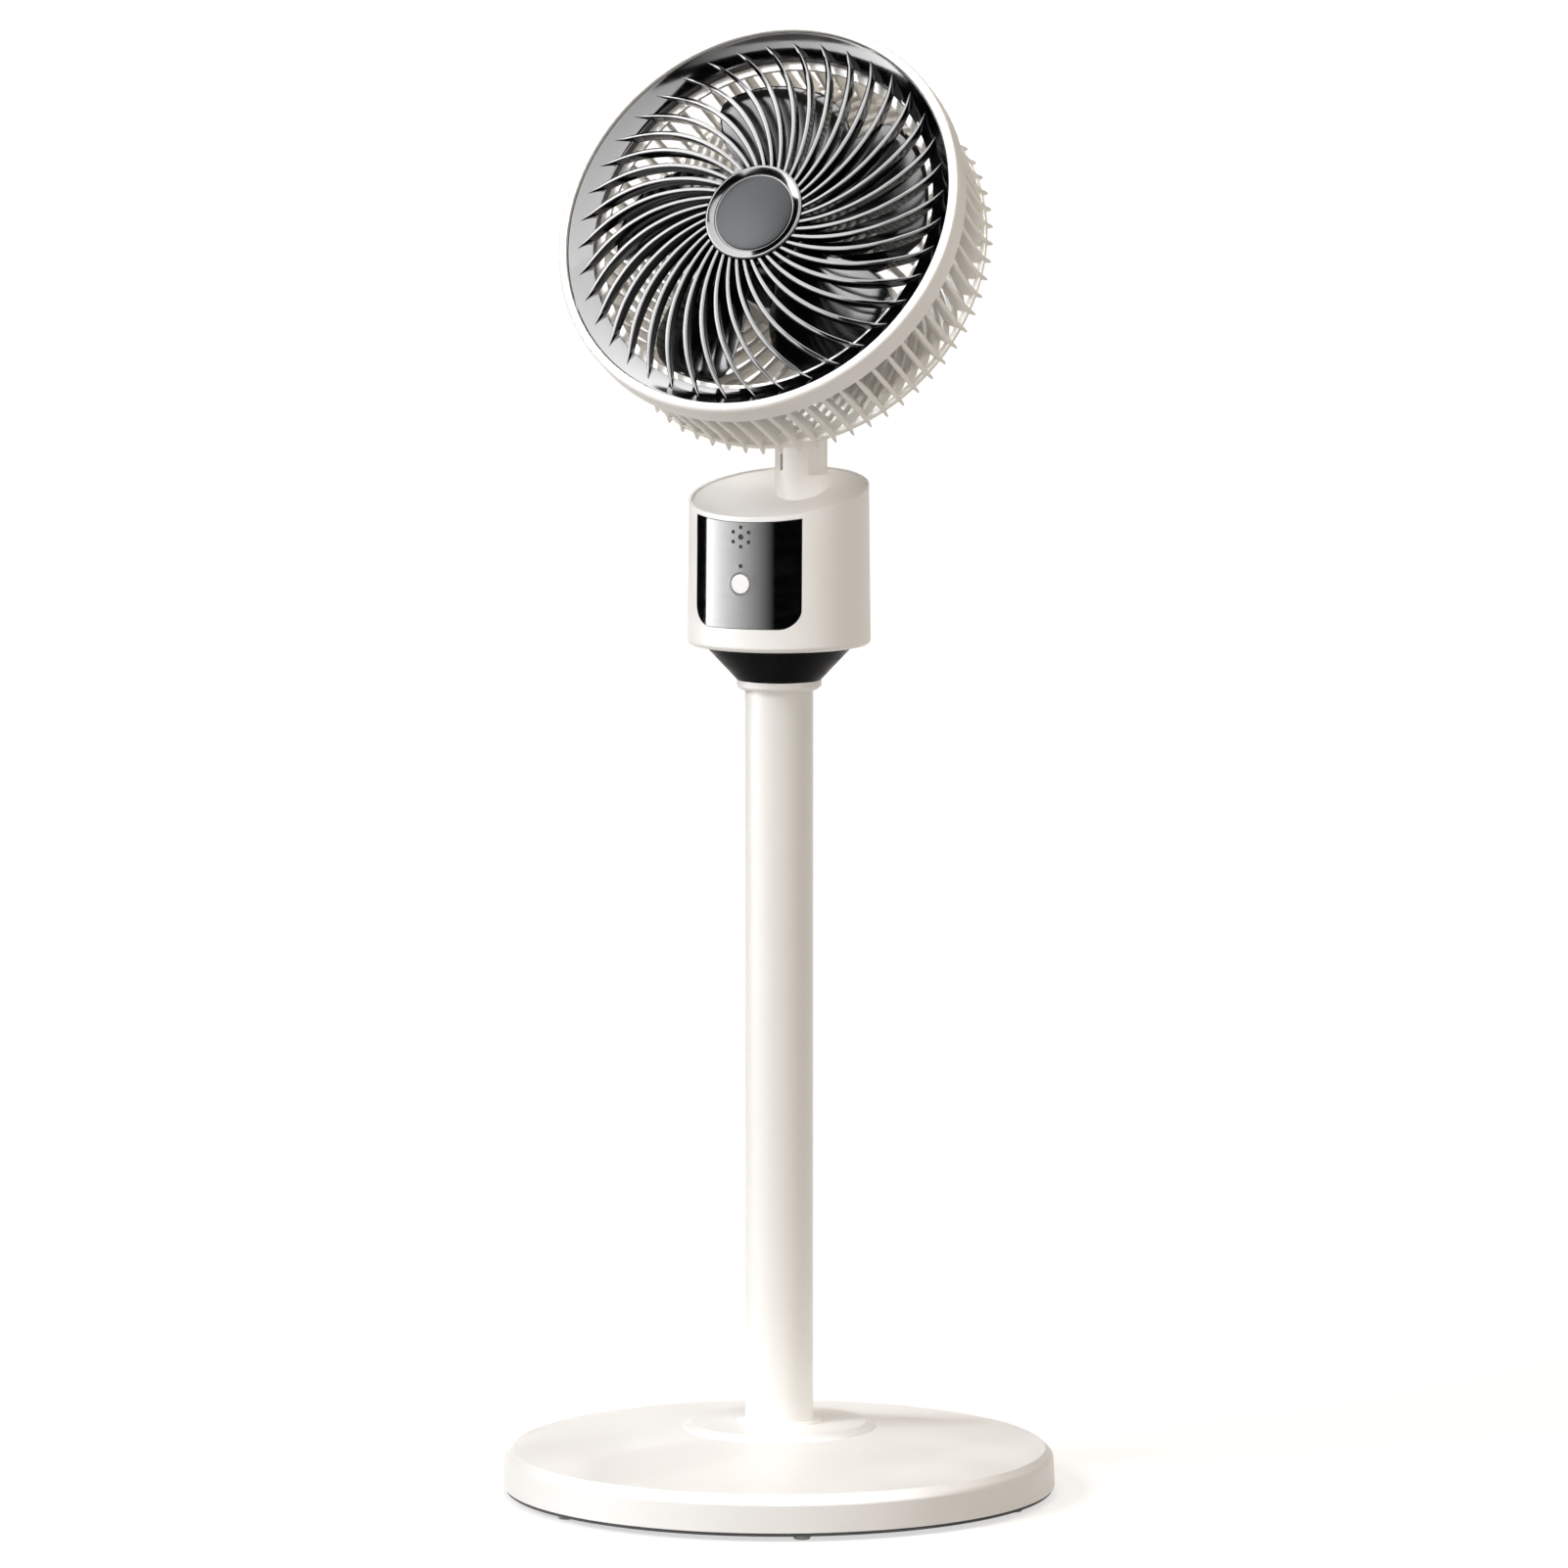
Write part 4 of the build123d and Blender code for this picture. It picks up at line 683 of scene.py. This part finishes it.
def direction(azimuth, elevation):
    """Unit vector from the fan; azimuth 0 is straight in front and grows to the right."""
    turn = radians(azimuth)
    rise = radians(elevation)
    return Vector((sin(turn) * cos(rise), -cos(turn) * cos(rise), sin(rise)))


def make_key():
    """Soft key lamp."""
    data = bpy.data.lights.new("key", "SUN")
    data.energy = KEY_STRENGTH
    data.color = linear(KEY_COLOUR)[:3]
    data.angle = radians(KEY_DISC)
    lamp = bpy.data.objects.new("key", data)
    lamp.rotation_euler = direction(KEY_AZIMUTH, KEY_ELEVATION).to_track_quat("Z", "Y").to_euler()
    bpy.context.scene.collection.objects.link(lamp)


make_key()
print("key lamp at", KEY_AZIMUTH, "and", KEY_ELEVATION, "degrees")

# %% [markdown]
# Gloss black shows whatever surrounds it, so a photographer hangs cards where the reflections fall:
# white ones for the highlights, and black flags where the plastic should stay deep. The cards here
# are patches of a sphere round the fan. They show in reflections alone, so they never block a view.
# Each row holds a card's name, its two azimuths, its two elevations, its distance, its glow from low to
# high, and the share of that glow from side to side. The low card fades to nothing on its right, which
# is the white to black gradient on the panel.

# %% Reflection cards
CARD_CENTRE = Vector((0, 0, 0.7))
CARDS = [
    ("flag_sky", (-180, 180), (-1.5, 90), 4.0, (0, 0), (1, 1)),
    ("flag_low", (-135, 110), (-10, -1.5), 3.9, (0, 0), (1, 1)),
    ("card_right", (10, 95), (3, 62), 3.4, (8, 15), (1, 1)),
    ("card_top", (-180, 180), (60, 90), 3.4, (13, 15), (1, 1)),
    ("card_left", (-66, -10), (20, 64), 3.3, (26, 15), (1.2, 0.6)),
    ("card_low", (-80, 19), (-10, -3), 3.5, (22, 22), (1, 0)),
]
CARD_STEPS = 24


def make_card(name, azimuths, elevations, radius, strengths, sides):
    """Patch of a sphere that shows in reflections only; its glow runs from low to high and side to side."""
    shape = bpy.data.meshes.new(name)
    mesh = bmesh.new()
    glows = mesh.verts.layers.float.new("glow")
    rows = []
    for j in range(CARD_STEPS + 1):
        up = j / CARD_STEPS
        row = []
        for k in range(CARD_STEPS + 1):
            over = k / CARD_STEPS
            turn = azimuths[0] + (azimuths[1] - azimuths[0]) * over
            rise = elevations[0] + (elevations[1] - elevations[0]) * up
            corner = mesh.verts.new(CARD_CENTRE + radius * direction(turn, rise))
            level = strengths[0] + (strengths[1] - strengths[0]) * up
            corner[glows] = level * (sides[0] + (sides[1] - sides[0]) * over)
            row.append(corner)
        rows.append(row)
    for low, high in zip(rows, rows[1:]):
        for k in range(CARD_STEPS):
            mesh.faces.new((low[k], low[k + 1], high[k + 1], high[k]))
    mesh.to_mesh(shape)
    mesh.free()
    card = bpy.data.objects.new(name, shape)
    bpy.context.scene.collection.objects.link(card)
    paper = bpy.data.materials.new(name)
    paper.use_nodes = True
    tree = paper.node_tree
    tree.nodes.clear()
    level = add(tree, "ShaderNodeAttribute", attribute_name="glow")
    glow = add(tree, "ShaderNodeEmission", {"Color": linear("#FFFFFF")}, {"Strength": level.outputs["Fac"]})
    add(tree, "ShaderNodeOutputMaterial", links={"Surface": glow.outputs["Emission"]})
    shape.materials.append(paper)
    card.visible_camera = False
    card.visible_diffuse = False
    card.visible_transmission = False
    card.visible_shadow = False


for card in CARDS:
    make_card(*card)
bpy.context.scene.view_settings.view_transform = "Standard"
print(len(CARDS), "cards and flags hung")
